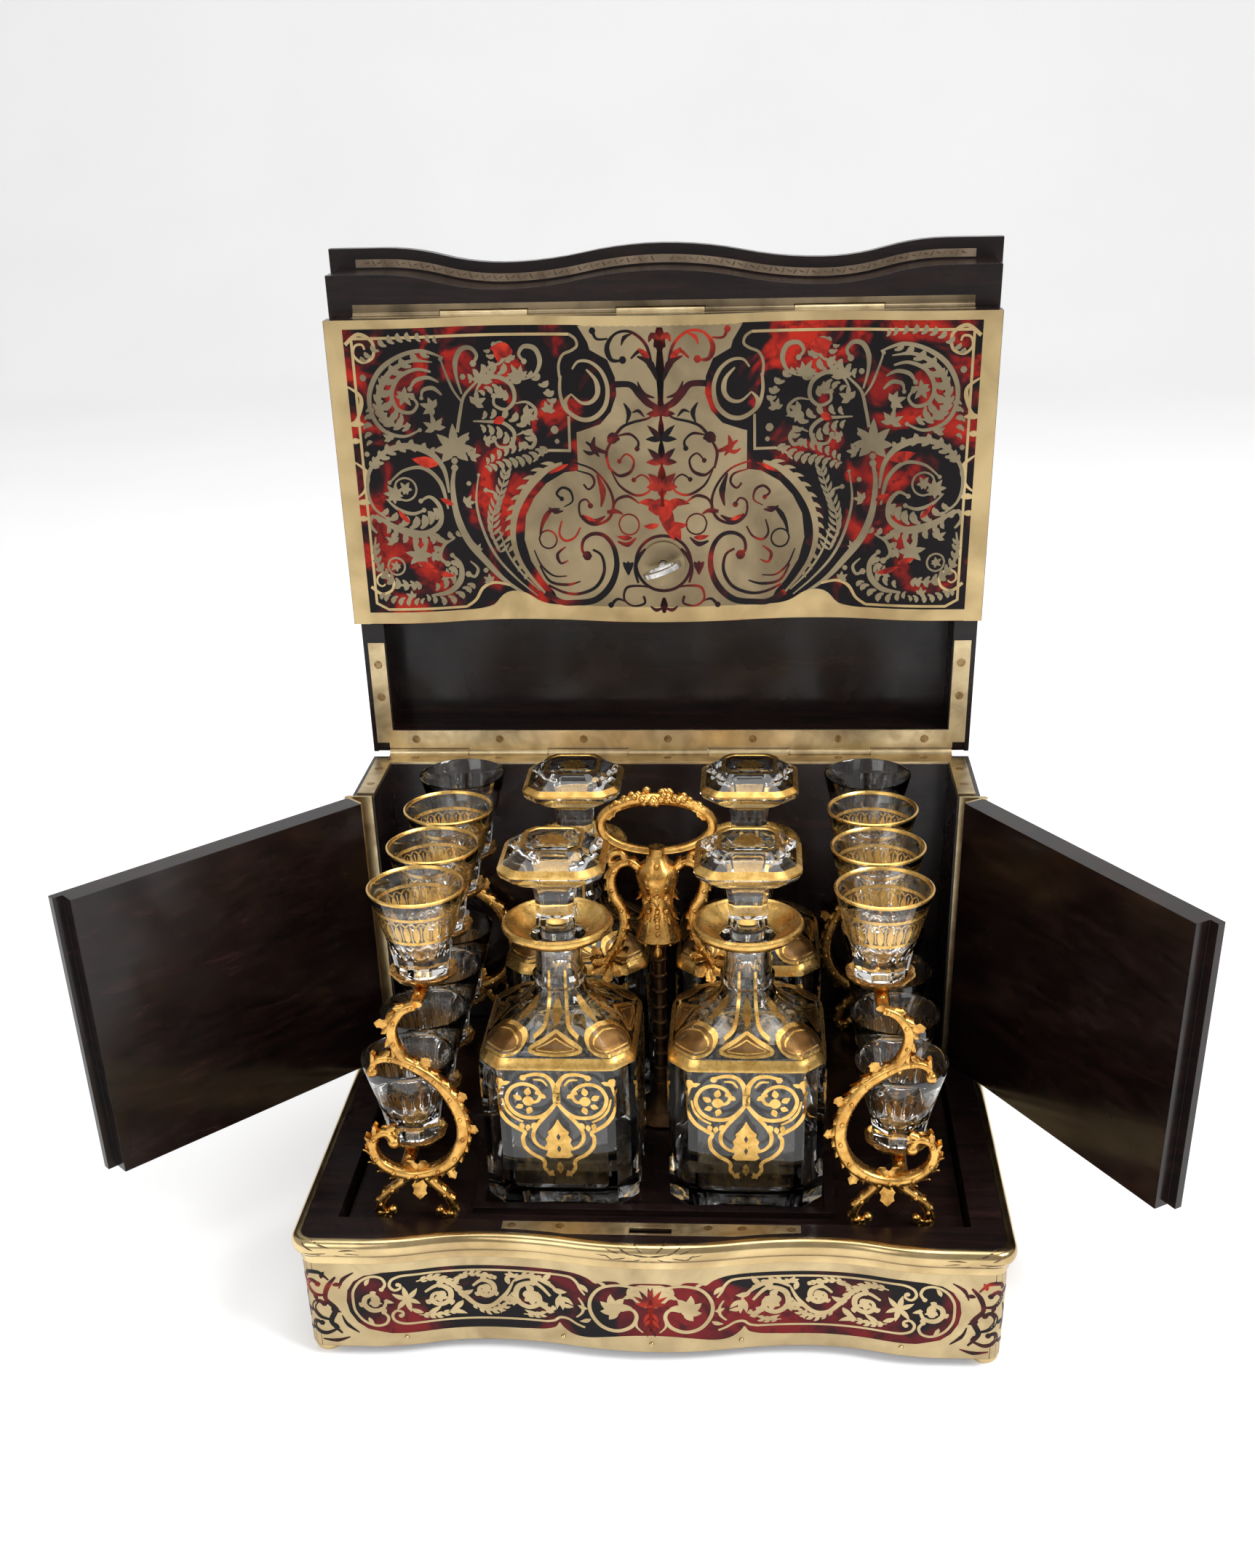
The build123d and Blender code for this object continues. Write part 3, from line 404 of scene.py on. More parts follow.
class Inlay:
    """Sheet cut to a drawing. place turns the drawing's x, z into a point of a face, and sides mirror it."""

    def __init__(self, place, sides=(1, -1)):
        self.work = bmesh.new()
        self.place = place
        self.sides = sides
        self.count = 0

    def ribbon(self, pairs):
        """A strip of sheet between pairs of points."""
        self.count = (self.count + 1) % LIFT_TURNS
        for side in self.sides:
            last, points, facing = None, [], Vector()
            for one, other in pairs:
                now = [self.work.verts.new(self.place(side * x, z)) for x, z in (one, other)]
                if last:
                    face = [last[0], last[1], now[1], now[0]]
                    made = self.work.faces.new(face if side > 0 else face[::-1])
                    made.normal_update()
                    facing += made.normal
                last = now
                points += now
            if facing.length > 0:
                rise = facing.normalized() * (LIFT_STEP * self.count)
                for point in points:
                    point.co += rise

    def line(self, points, *widths, straight=False):
        """A ribbon along the points, its width taken from the widths in turn."""
        line = points if straight else smooth(points)
        pairs = []
        for i, (x, z) in enumerate(line):
            before, after = around(line, i)
            dx, dz = after[0] - before[0], after[1] - before[1]
            length = math.hypot(dx, dz) or 1.0
            half = between(widths, i / (len(line) - 1)) / 2
            if straight and 0 < i < len(line) - 1:
                turn = math.dist(line[i], before) + math.dist(line[i], after)
                half *= min(1.5, turn / length)
            nx, nz = -dz / length * half, dx / length * half
            pairs.append(((x + nx, z + nz), (x - nx, z - nz)))
        self.ribbon(pairs)

    def long_line(self, corners, width):
        """Straight runs between corners, divided so that they follow a curved face."""
        line = [corners[0]]
        for a, b in zip(corners, corners[1:]):
            count = max(1, math.ceil(math.dist(a, b) / 4))
            line += [(a[0] + (b[0] - a[0]) * i / count, a[1] + (b[1] - a[1]) * i / count)
                     for i in range(1, count + 1)]
        self.line(line, width, straight=True)

    def leaf(self, x, z, angle, length, width, bend=0.0):
        """A pointed leaf that starts at x, z and bends by so many degrees along its length."""
        self.line(bent(x, z, angle, length, bend, 8), *(part * width for part in LEAF_WIDTHS), LEAF_TIP)

    def lobe(self, x, z, angle, length, width, bend):
        """A hooked leaf, widest near its round end."""
        self.line(bent(x, z, angle, length, bend, 6), *(part * width for part in LOBE_WIDTHS), LOBE_TIP)

    def dot(self, x, z, radius):
        """A small round of sheet."""
        self.line([(x - radius, z), (x, z), (x + radius, z)], *(part * radius for part in DOT_WIDTHS))

    def spray(self, x, z, angle, length, width, count=5, spread=130.0):
        """A fan of leaves, the middle one longest."""
        for i in range(count):
            off = i / (count - 1) * 2 - 1
            self.leaf(x, z, angle + off * spread / 2, length * (1 - 0.35 * abs(off)), width, 25 * off)

    def scroll(self, x, z, radius, start, turns, width, leaves=3):
        """A spiral with a flower in its eye and curved leaves springing from both its sides."""
        line = curl(x, z, radius, start, turns)
        self.line(line, 0.5 * width, 1.15 * width, width, 0.6 * width)
        self.dot(*line[-1], 0.95 * width)
        hand = 1 if turns > 0 else -1
        for i in range(leaves):
            px, pz = line[min(1 + i * 2, len(line) - 2)]
            out = heading((x, z), (px, pz))
            self.leaf(px, pz, out + 30 * hand, 0.5 * radius, 0.2 * radius + 0.8 * width, 60 * hand)
            self.leaf(px, pz, out + (180 - 50) * hand, 0.34 * radius, 0.14 * radius + 0.5 * width, -50 * hand)

    def frond(self, points, length, width, lean=48, step=3.8):
        """A stem with pairs of curved leaves along it, the longest in its middle."""
        self.line(points, 0.5, 0.34 * width + 0.5, 0.4)
        line = smooth(points, step)
        for i in range(1, len(line)):
            before, here = line[i - 1], line[i]
            ahead = heading(before, here)
            grown = math.sin(math.pi * (0.2 + 0.7 * i / len(line))) ** 0.7
            for hand in (1, -1):
                self.leaf(*here, ahead + hand * lean, length * grown, 0.8 * width * grown, -hand * 50)
        self.leaf(*line[-1], ahead, length * 0.7, 0.8 * width)

    def hooks(self, points, hand, length, width, pitch):
        """Hooked leaves springing from one side of a stem, the longest in its middle."""
        line = smooth(points, pitch)
        for i, here in enumerate(line):
            ahead = heading(*around(line, i))
            grown = 0.7 + 0.3 * math.sin(math.pi * i / len(line))
            self.lobe(*here, ahead + 14 * hand, 1.5 * length * grown, 1.55 * width * grown, 110 * hand)

    def fill(self, rows, columns=12):
        """Sheet between a left and a right edge, given as rows of z, left x, right x."""
        for side in self.sides:
            last = None
            for z, left, right in rows:
                now = [self.work.verts.new(self.place(side * (left + (right - left) * i / columns), z))
                       for i in range(columns + 1)]
                if last:
                    for i in range(columns):
                        face = [last[i], last[i + 1], now[i + 1], now[i]]
                        self.work.faces.new(face if side > 0 else face[::-1])
                last = now

    def finish(self, name, look, body, finish, sheet_mm=0.12):
        """The drawing becomes a piece of sheet metal or shell, its thickness under the drawn face."""
        made = piece(name, self.work, look, body, 0.0)
        thick = made.modifiers.new("sheet", "SOLIDIFY")
        thick.thickness = sheet_mm * MM
        thick.offset = -1.0


def rows_between(edge, z_step=1.0, left=0.0):
    """Rows from the centre line out to an edge given as (z, x) points, upwards."""
    rows = []
    for (z0, x0), (z1, x1) in zip(edge, edge[1:]):
        count = max(1, math.ceil((z1 - z0) / z_step))
        rows += [(z0 + (z1 - z0) * i / count, left, x0 + (x1 - x0) * i / count) for i in range(count)]
    rows.append((edge[-1][0], left, edge[-1][1]))
    return rows


# Serpentine front
WAVE_DEPTH = 7.5
WAVE_HOLLOW = 78.0
WAVE_BULGE = 138.0


def wave(x):
    """How far the front lies behind its forward line at x."""
    x = abs(x)
    if x >= WAVE_BULGE:
        return 0.0
    half = WAVE_HOLLOW / 2 if x <= WAVE_HOLLOW else (WAVE_BULGE - WAVE_HOLLOW) / 2
    away = abs(WAVE_HOLLOW - x)
    radius = (half ** 2 + (WAVE_DEPTH / 2) ** 2) / WAVE_DEPTH
    if away <= half:
        return WAVE_DEPTH - radius + math.sqrt(radius ** 2 - away ** 2)
    return radius - math.sqrt(radius ** 2 - (2 * half - away) ** 2)


# How far the sheets of the marquetry stand out of their ground
BORDER_LIFT = 0.12
SCROLL_LIFT = 0.11
DARK_LIFT = 0.17
FLAME_LIFT = 0.21

# Front panel: where its front and its lower edge are, and the edges of its drawing
PANEL_FRONT = 107.0
PANEL_FOOT = 297.5
PANEL_TOP = 148.3
PANEL_HALF = 161.8
PANEL_FIELD = 153.0

# Base: its rounded front corners, the brass band's edges and the end of its long field
BASE_CORNER = 8.0
CORNER_START = HALF_BASE - BASE_CORNER
CORNER_END = CORNER_START + BASE_CORNER * math.pi / 2
SIDE_SHIFT = 4.0
BAND_FOOT = 6.2
BAND_TOP = 55.9
FIELD_END = 119.0


def on_panel(lift):
    """x from the panel's centre line, z from its lower edge."""
    return lambda x, z: (x, PANEL_FRONT + wave(x) - lift, PANEL_FOOT + z)


def on_base(lift):
    """x runs along the front and round its corners."""
    def place(x, z):
        side, beyond = math.copysign(1, x), abs(x) - CORNER_START
        if beyond <= 0:
            return (x, FRONT_Y + wave(x) - lift, z)
        turn = min(beyond / BASE_CORNER, math.pi / 2)
        reach = BASE_CORNER + lift
        along = max(0.0, abs(x) - CORNER_END)
        y = BASE_CORNER + FRONT_Y - reach * math.cos(turn) + along
        return (side * (CORNER_START + reach * math.sin(turn)), y, z)

    return place


def on_base_side(side, lift):
    """y runs along the straight side, from the middle of its length."""
    return lambda y, z: (side * (HALF_BASE + lift), side * y + SIDE_SHIFT, z)


def front_panel_marquetry():
    """Sheets of the front panel, drawn for its right half: x from the centre, z from its lower edge."""
    border = Inlay(on_panel(BORDER_LIFT))
    border.fill([(0, PANEL_FIELD, PANEL_HALF), (PANEL_TOP, PANEL_FIELD, PANEL_HALF)], 3)
    top = [(i * 4, 143.6 if i < 10 else 144.2) for i in range(39)] + [(PANEL_FIELD, 144.2)]
    low = smooth([(0, 8), (34, 8), (55, 8), (64, 9.5), (72, 14), (79, 15), (84, 13), (89, 8), (96, 6.3)], 3)
    low += [(x, 6) for x in range(100, 153, 4)] + [(PANEL_FIELD, 6)]
    border.ribbon([((x, PANEL_TOP), (x, z)) for x, z in top])
    border.ribbon([((x, z), (x, 0.2)) for x, z in low])
    border.long_line([(44, 140), (149, 140), (149, 11), (143, 7.6), (103, 7.6)], 1.3)
    border.line([(103, 7.6), (98, 11), (94, 17), (88, 19.5), (80, 18)], 1.3, 1.6, 1.2)
    # cusps and corner curls on the upright borders
    border.line(curl(144.5, 134.5, 8.2, 20, 1.4), 1.8, 1.5, 1)
    border.line(curl(144.5, 22, 7, -20, -1.3), 1.6, 1.3, 0.8)
    for z, reach in ((100, 4.5), (92, 3), (62, 4.5), (54, 3)):
        border.leaf(154, z, 165, reach * 1.8, 3, 30)
    border.line([(153, 118), (147, 113), (149, 104), (153, 100)], 0.8, 2.2, 0.8)
    border.line([(153, 82), (147.5, 77), (149, 69), (153, 65)], 0.8, 2.2, 0.8)

    ground = Inlay(on_panel(BORDER_LIFT))
    edge = [(7.8, 54), (14.5, 57), (20.5, 62.3), (30.5, 68.4), (41.5, 71.2), (53.5, 69.8), (62.5, 65),
            (69.5, 58.5), (75, 49), (76, 42), (94.5, 42), (95, 40), (98.5, 30), (104.5, 24.5),
            (112.5, 21.5), (120.5, 22), (128.5, 25.5), (133, 34), (136.5, 35), (143.8, 39.6)]
    ground.fill(rows_between(edge))
    # ear: a brass volute between the dark band and the frame
    ear = smooth([(49, 121), (49.5, 113), (47, 105.5), (40, 100.8), (33, 101.5), (27.3, 107), (25.8, 115.5),
                  (28.5, 123), (34, 127.4), (39.8, 127.6), (43, 124)], 1.5)
    ground.line(ear, 1.4, 2, 2.3, 1.9, 0.9)
    ground.line([(36, 124), (31.5, 119), (30.8, 113), (34, 109), (39, 108.5), (44, 112.5)],
                0.8, 2.6, 1.8, 0.6)
    ground.line([(44, 112.5), (47, 109), (46, 105)], 0.6, 2, 1)
    # frame line of the side cartouche
    ground.line([(44, 140), (41, 138), (40.2, 134.8), (43, 132.6), (47.4, 130.6), (49.6, 126), (49.4, 120)],
                1.3)
    ground.long_line([(45.6, 102), (45.8, 85.6), (56.4, 85.6)], 1.3)
    ground.line([(56.4, 85.6), (61, 83.5), (64.5, 80)], 1.3, 0.8)
    # outer strand of the great volute, serrated with leaves
    strand = smooth([(50, 79.5), (58.5, 75.8), (66, 69.5), (72.8, 60), (76.2, 50.5), (76.8, 40), (74, 30),
                     (68.5, 21.5), (61.5, 13.5)], 2)
    ground.line(strand, 1.2, 4, 3.8, 3, 2.6, 2, 1)
    for i in range(2, len(strand) - 6, 3):
        ground.leaf(*strand[i], 22 - i * 1.9, 8.5 - i * 0.12, 2.1, -28)

    scrollwork = Inlay(on_panel(SCROLL_LIFT))
    # stems, coils and hooks: points and the widths along them
    for widths, points in (
        ((0.8, 1.8, 3, 3.6, 3.4, 2.6, 1.6),
         [(68, 10.5), (82, 20), (92, 31), (100, 42), (104.6, 55), (105.6, 69), (104, 78)]),
        ((0.5, 1.2, 1.5, 1.3, 0.6), [(66, 12.5), (76, 21), (85.5, 32), (91.5, 45), (94.5, 60), (92.5, 74)]),
        ((0.5, 1.1, 1.1, 0.5), [(64.5, 15), (73, 23.5), (80, 34), (83.5, 45)]),
        ((1.6, 1.6, 1.2, 0.7), [(101.5, 95), (99.5, 104), (97, 112), (91, 118), (84, 125)]),
        ((0.8, 1.3, 0.8), [(98, 109), (102, 115), (105.4, 124), (107, 129.6)]),
        # crescent of the upper scroll and its inner strands
        ((0.7, 1.8, 2, 2.4, 2.4, 2.2, 2, 1.6, 0.8),
         [(105.6, 130.2), (115.7, 133.7), (126.6, 131.6), (136.8, 125), (142.4, 115), (142.2, 104.8),
          (136.8, 97), (127.3, 94.2), (119.4, 97)]),
        ((0.5, 1.6, 2.6, 3, 2.6, 2, 0.6),
         [(111, 128.4), (121.5, 129.2), (131.6, 124.2), (137.8, 114.6), (137.4, 105.8), (131.6, 99.6),
          (124.4, 99.4)]),
        ((1, 1.8, 2.2, 2, 1.6, 1.2),
         [(112, 124), (119, 125.4), (127.4, 122), (131.6, 114.4), (129.4, 107.2), (123, 105.4), (119.6, 109),
          (121.8, 112.6)]),
        ((0.8, 1.8, 2, 1), [(108.6, 119), (113.6, 121.4), (119.6, 120.2), (122.6, 116.4)]),
        ((0.8, 2, 1.8, 0.8), [(107.6, 113), (111.6, 116.4), (116.4, 115.6), (117.4, 112)]),
        # hooks above the flower
        ((0.8, 1.4, 2.4, 2.4, 1.8, 1.4),
         [(98, 113), (100, 121), (100, 128.4), (97, 133.6), (92.4, 134.2), (89.6, 130.6), (91.6, 127)]),
        ((0.6, 1.6, 2.2, 1.8, 1.2), [(83.4, 125), (78, 127.4), (75, 132), (77.4, 136.2), (81, 135.4)]),
        ((0.6, 1.6, 2.4, 2.4, 1.8, 1.2),
         [(68, 119), (61.6, 121.6), (58.8, 127.6), (61, 133.4), (66.4, 134.4), (69, 130.8), (66.6, 127.6)]),
        ((0.6, 1.8, 2.2, 2, 1.6, 1.2),
         [(92, 112), (88, 118.4), (80.4, 120.6), (73.6, 116.6), (72.4, 109.6), (77, 105.2), (82.4, 107.4),
          (82.4, 111.6)]),
        ((0.6, 1.6, 2, 1.6, 1.2),
         [(93.4, 100), (86.4, 99.6), (78.6, 98.8), (73.4, 94), (75.4, 87.8), (81.4, 87.4), (83.6, 91.4)]),
        ((0.6, 1.6, 2, 1.6), [(72, 93), (66.4, 94.6), (63, 91), (65, 87), (68.6, 88.2)]),
        ((0.6, 1.4, 1.8, 1), [(72, 108), (66.4, 108.6), (62, 105), (63.4, 100.6), (67.4, 101)]),
        # middle coil: outer ring, inner strand and ring round its flower
        ((1, 2.2, 3.2, 3, 2.2, 1.7, 1.4, 1),
         [(107.6, 66), (109.4, 78), (116, 86.2), (126.7, 89.6), (138, 86.6), (146, 78), (148, 68),
          (145.6, 59.6), (139, 54)]),
        ((0.8, 2, 2, 1.4, 0.8), [(108.6, 58), (111.4, 71), (119, 78.6), (129, 77.8), (136.6, 72)]),
        ((1,), curl(129, 68.6, 5.6, 0, 1, 0.98)),
        ((1, 3, 4, 3.2, 2.4, 2, 1),
         [(145, 56), (135, 49.4), (122, 46), (113.4, 50.6), (112.6, 59), (117, 64.4), (121.8, 62.6)]),
        ((0.6, 1.6, 1.8, 1), [(139, 64), (133.6, 59), (126.4, 56.4), (120.6, 58)]),
        # lower corner
        ((1, 2, 2, 1.4), [(145.4, 47), (148.6, 51.4), (146.8, 55.4), (143.4, 53.6)]),
        ((0.8, 1.6, 1.8, 1.4, 0.8), [(146.4, 45), (147.4, 34.6), (143, 25), (135.4, 20.4), (127, 20.6)]),
        ((1,), curl(137, 30, 4.4, 0, 1, 0.98)),
        ((0.7, 2.6, 3.2, 2.4, 1), [(120.4, 14.6), (111, 16), (105, 22), (104.6, 29.6), (108.4, 34.6)]),
        ((0.6, 1.6, 1.4), [(99.6, 31), (96, 27), (97.8, 23), (101, 24.4)]),
        ((0.6, 1.6, 2, 1.4), [(106.6, 43), (112, 40), (114.4, 34), (111, 30.4)]),
        ((0.6, 1.4, 1.4, 1), [(88, 52), (83.6, 58), (84.6, 64.4), (89.4, 66.4)]),
    ):
        scrollwork.line(points, *widths)
        if len(widths) > 1:
            scrollwork.dot(*points[-1], 0.9 * widths[-1] + 0.3)
    # hooked leaves along the stems: side of the stem, length, width, distance between them
    for hand, length, width, pitch, points in (
        (1, 5.6, 2.6, 6, [(112, 131), (121, 127), (129, 121), (132, 112), (128, 105)]),
        (-1, 4.6, 2.2, 5.2, [(137, 122), (141, 110), (137, 100), (128, 97)]),
        (1, 5, 2.4, 5.4, [(113, 84), (122, 87), (132, 86), (141, 80)]),
        (-1, 5.4, 2.6, 5.6, [(143, 57), (134, 51), (123, 49), (115, 53)]),
        (1, 4.6, 2.2, 5, [(140, 51), (128, 46), (117, 46)]),
        (-1, 4.6, 2.2, 5, [(94, 118), (88, 121), (80, 122), (73, 118)]),
        (1, 4, 2, 4.6, [(90, 114), (83, 117), (77, 114)]),
        (1, 4.4, 2.2, 4.6, [(90, 98), (82, 97), (75, 92)]),
        (-1, 4.4, 2.2, 4.6, [(89, 101), (80, 101), (72, 98), (68, 92)]),
        (-1, 4, 2, 4.6, [(66, 121), (60, 117), (56, 110)]),
        (1, 4.4, 2, 4.4, [(89, 78), (80, 81), (70, 83), (61, 87)]),
        (-1, 3.6, 1.8, 4.4, [(88, 79), (79, 83), (69, 86)]),
        (1, 4.4, 2.2, 4.8, [(145, 42), (144, 32), (138, 24), (128, 22)]),
        (-1, 4.2, 2.2, 4.8, [(118, 17), (109, 20), (106, 28)]),
        (1, 4, 2, 4.6, [(123, 15), (112, 13.6), (102, 19)]),
        (1, 3.8, 2, 4.4, [(103, 44), (110, 42), (114, 36)]),
        (1, 3.6, 1.8, 4.2, [(146, 90), (147, 98), (145, 106)]),
        (-1, 3.6, 1.8, 4.2, [(124, 13), (134, 13.6), (144, 16)]),
        (1, 3.6, 1.8, 4.4, [(108, 137), (120, 138.4), (132, 136.6), (142, 130)]),
        (-1, 3.4, 1.8, 4.4, [(86, 133), (84, 128), (86, 122)]),
    ):
        scrollwork.hooks(points, hand, length, width, pitch)
    # laurel between the strands, and the flowers
    laurel = smooth([(79, 74), (82.4, 64), (86.4, 54), (87.4, 44), (84, 35)], 3.6)
    scrollwork.line(laurel, 0.7)
    for i, (x, z) in enumerate(laurel):
        for side in (1, -1):
            scrollwork.leaf(x, z, 104 + 46 * side, 4.8 + 0.2 * i, 1.7, -30 * side)
    scrollwork.spray(103.6, 86.4, 90, 13, 4.6, 7, 236)
    many(scrollwork.dot, (
        (103.6, 85.6, 2), (103.8, 81.4, 1.6), (97, 121, 1.4), (145, 122, 1.6), (53, 95.5, 2), (52, 90, 1.2),
        (55.5, 113.5, 1.3), (146.6, 86, 1.3), (110, 100, 1.4), (97, 92, 1.2), (97.6, 70, 1.2), (92, 26, 1.3),
    ))
    many(scrollwork.spray, (
        (134.4, 66, 30, 6.2, 2.6, 8, 300), (124.4, 35, 70, 8.6, 3.2, 7, 300),
        (88, 118, 100, 8.6, 2.8, 5, 130), (69, 119, 60, 8.4, 3, 5, 120), (68, 103, 200, 7.6, 2.8, 5, 150),
        (130, 13.6, 60, 4.6, 1.9, 4, 120), (112, 97, 80, 8, 2.6, 5, 160), (134, 92.6, 60, 5.4, 2, 4, 110),
        (118, 35, 200, 5, 2, 4, 120), (56, 104, 100, 6, 2.4, 4, 120), (137, 42, 60, 6, 2.2, 4, 120),
        (96, 36, 100, 5, 2, 4, 100), (112, 107, 20, 7, 2.8, 5, 160), (92, 108, 130, 7, 2.8, 4, 120),
        (96, 83, 150, 6, 2.4, 4, 120), (126, 113, 200, 6, 2.4, 6, 300), (129, 68.6, 90, 4.4, 2, 6, 300),
        (137, 30, 0, 3.6, 1.6, 6, 300), (100, 60, 150, 6, 2.2, 4, 110), (88, 90, 160, 5, 2.2, 4, 120),
        (79, 112, 90, 4.6, 2.2, 5, 200), (90, 20, 60, 5, 2, 4, 110), (73, 128, 60, 5, 2.2, 4, 120),
        (111, 23, 60, 6, 2.4, 4, 110),
    ))

    # dark arabesques laid into the brass of the centre
    dark = Inlay(on_panel(DARK_LIFT))
    for widths, points in (
        # volute band and its coil
        ((3, 3, 3.2, 3.4, 2.8, 2.2, 1.8, 1.4),
         [(62, 14), (54, 9.5), (47, 9.2), (36, 11), (28, 18), (24, 28), (25, 38), (29.5, 44), (35.5, 45),
          (40.5, 41.8), (41.5, 36.5), (39, 33.5)]),
        ((1.2, 1.6, 1.8, 1.2), [(60, 18), (52, 14.5), (44, 14), (35, 18), (30.5, 26), (31.5, 34), (36, 37)]),
        ((0.8, 1.4, 1.6, 0.6), [(64, 28), (59, 20), (50, 18.5), (43, 20.5)]),
        ((0.6, 1.2, 0.6), [(66.5, 36), (63, 28), (57, 23), (50, 23)]),
        # great leaf scroll of the volute
        ((0.8, 1.2, 1.6, 1.2, 1),
         [(44, 80), (34, 76.5), (27, 68.5), (24.6, 60), (27.5, 52.5), (35.5, 49.6), (41.5, 53.5), (42, 60),
          (38.5, 62), (36, 58.5)]),
        ((0.6, 3.4, 0.6), [(32.5, 74.5), (29.8, 66), (31, 58.5)]),
        ((0.5, 1.3, 1), [(42.5, 76), (35.5, 74), (34, 70), (37, 67), (39.5, 69.5)]),
        ((0.6, 3.2, 1), [(29, 54), (35, 51), (41, 54)]),
        ((0.5, 1.4, 1.2), [(50, 58), (45.5, 61), (46.5, 66), (50.5, 67.5), (53.5, 64.5), (51, 62)]),
        ((0.5, 2.8, 0.8), [(52, 57), (57, 56), (61, 50.5), (63, 44)]),
        ((0.5, 2.4, 0.5), [(50.5, 56), (54.5, 55.5), (58, 57.5)]),
        ((0.8, 1.4, 0.8), [(42, 48), (45, 43), (50, 41), (53, 44.5), (51.5, 51)]),
        ((0.9,), curl(59, 41.5, 4.6, 0, 1, 0.98)),
        ((0.6, 1.8, 0.6), [(50, 38), (54.5, 34), (53, 29.5), (49, 31)]),
        # centre: finial, wings, stems and palmettes
        ((1, 5, 1), [(-2.5, 134), (0, 137.5), (2.5, 134)]),
        ((2.6, 5.6, 2), [(0, 143), (0, 138.5), (0, 132)]),
        ((0.6, 3.4, 0.6), [(0, 137.5), (3.6, 139.4), (5.2, 136.5)]),
        ((2.4, 4.4, 3, 2.2), [(0, 133), (0, 126), (0, 116), (0, 106)]),
        ((0.8, 3.6, 0.6), [(1.5, 119), (5, 127), (11, 130)]),
        ((0.6, 2, 0.8), [(6, 129), (9.5, 132.5), (14, 129)]),
        ((0.9, 1.6, 1.4, 1.2, 2.8, 0.8),
         [(3.5, 124), (6.5, 135), (13.5, 141), (21, 140.4), (25.4, 134.5), (23.5, 128.5), (18, 128.2)]),
        ((0.4, 2, 0.4), [(13, 140.5), (17, 138.5), (18.5, 135)]),
        ((0.8, 1.2, 1.8), [(25, 138), (30.5, 138), (32.4, 142)]),
        ((2.2, 3.4, 3.6, 2.8, 3), [(0, 105.5), (6, 108.5), (10, 112.5), (14.5, 117), (22.5, 117.2)]),
        ((0.5, 2.4, 0.4), [(3, 111), (8.5, 113), (11, 118.5)]),
        ((0.8, 1.2, 1.4, 1.8), [(1.5, 105), (6, 101.5), (14, 99.5), (19.5, 97), (24, 91.5)]),
        ((0.5, 2.6, 0.5), [(17, 99), (15.6, 104), (18, 108.5)]),
        ((0.4, 1.8, 0.4), [(8, 102), (11, 105), (14, 104)]),
        ((1, 4.6, 1), [(20.5, 91.5), (24, 92), (26.5, 90)]),
        ((0.6, 1.4, 1, 1.6), [(22, 93), (15.5, 94), (11.4, 90.5), (12, 86.8)]),
        ((1.2, 1.6, 1), [(25, 90), (27.4, 84.5), (26, 77)]),
        ((0.6, 1.8, 1, 0.8), [(26, 78), (21.5, 74), (15.5, 76), (13.8, 81.5), (17.5, 84.5), (21, 81)]),
        ((0.6, 1.4, 1, 0.8),
         [(25.5, 77), (21, 69), (13, 64.5), (6.5, 66.5), (6, 71.5), (10, 74.5), (14, 72)]),
        ((1.2, 2.6, 0.8), [(27, 85), (32, 86.5), (37.5, 90)]),
        ((0.6, 3.2, 0.6), [(31, 83), (34, 87.5), (33, 92.5)]),
        ((0.5, 2.2, 0.5), [(32, 85.5), (36, 84.5), (39, 86)]),
        ((0.6, 1.6, 1), [(11.5, 60.5), (17, 64), (22.5, 62.5), (24.6, 59)]),
        ((0.6, 2.4, 1.6), [(20, 55), (23, 56.5), (28, 56)]),
        ((0.8,), curl(17, 50, 5.2, 0, 1, 0.98)),
        ((0.6, 2.6, 0.8), [(13.5, 43.5), (18, 40), (23, 41.5)]),
        ((1, 2.4, 1.6, 1.2), [(9, 38), (13, 33), (14.5, 27), (13, 20.5)]),
        ((0.6, 4.6, 0.6), [(15.5, 31), (18, 28.4), (20.5, 31)]),
        ((0.6, 4, 0.6), [(18, 24.5), (18, 28), (18, 31.5)]),
        # small scrolls at the foot of the centre
        ((0.8, 1.4, 1, 1.4), [(6, 18), (12, 19), (19, 18), (20.5, 12), (16, 8.6), (10, 10), (10.5, 13.8)]),
        ((0.6, 1.4, 1.8), [(19, 10.5), (24, 12), (27.5, 8.5)]),
        ((1.2, 4, 1.2), [(0, 13), (0, 9), (0, 5)]),
        ((0.6, 2, 0.6), [(0, 8), (4, 6.5), (7, 8.5)]),
    ):
        dark.line(points, *widths)
    for z, length, width in ((103, 11, 3.2), (91, 12, 3), (80, 12, 3.4), (68, 12, 4.4)):
        dark.spray(0, z, 90, length, width, 5, 150)
        dark.line([(0, z), (0, z - 9)], 1, 2.2)
    many(dark.dot, (
        (32.4, 141.6, 1.6), (24, 92, 2.8), (18, 128.4, 1.8), (27.5, 8.8, 1.5), (12, 87, 1.3), (39, 33.8, 2.4),
        (36.4, 59, 1.4), (21, 81, 1.2), (14, 72, 1.2), (51, 62, 1.2),
    ))
    half_ring = []
    for i in range(5, 16):
        a = i / 20 * math.tau
        half_ring.append((-14 * math.cos(a), 30.5 + 14 * math.sin(a)))
    dark.line(half_ring, 1.6)

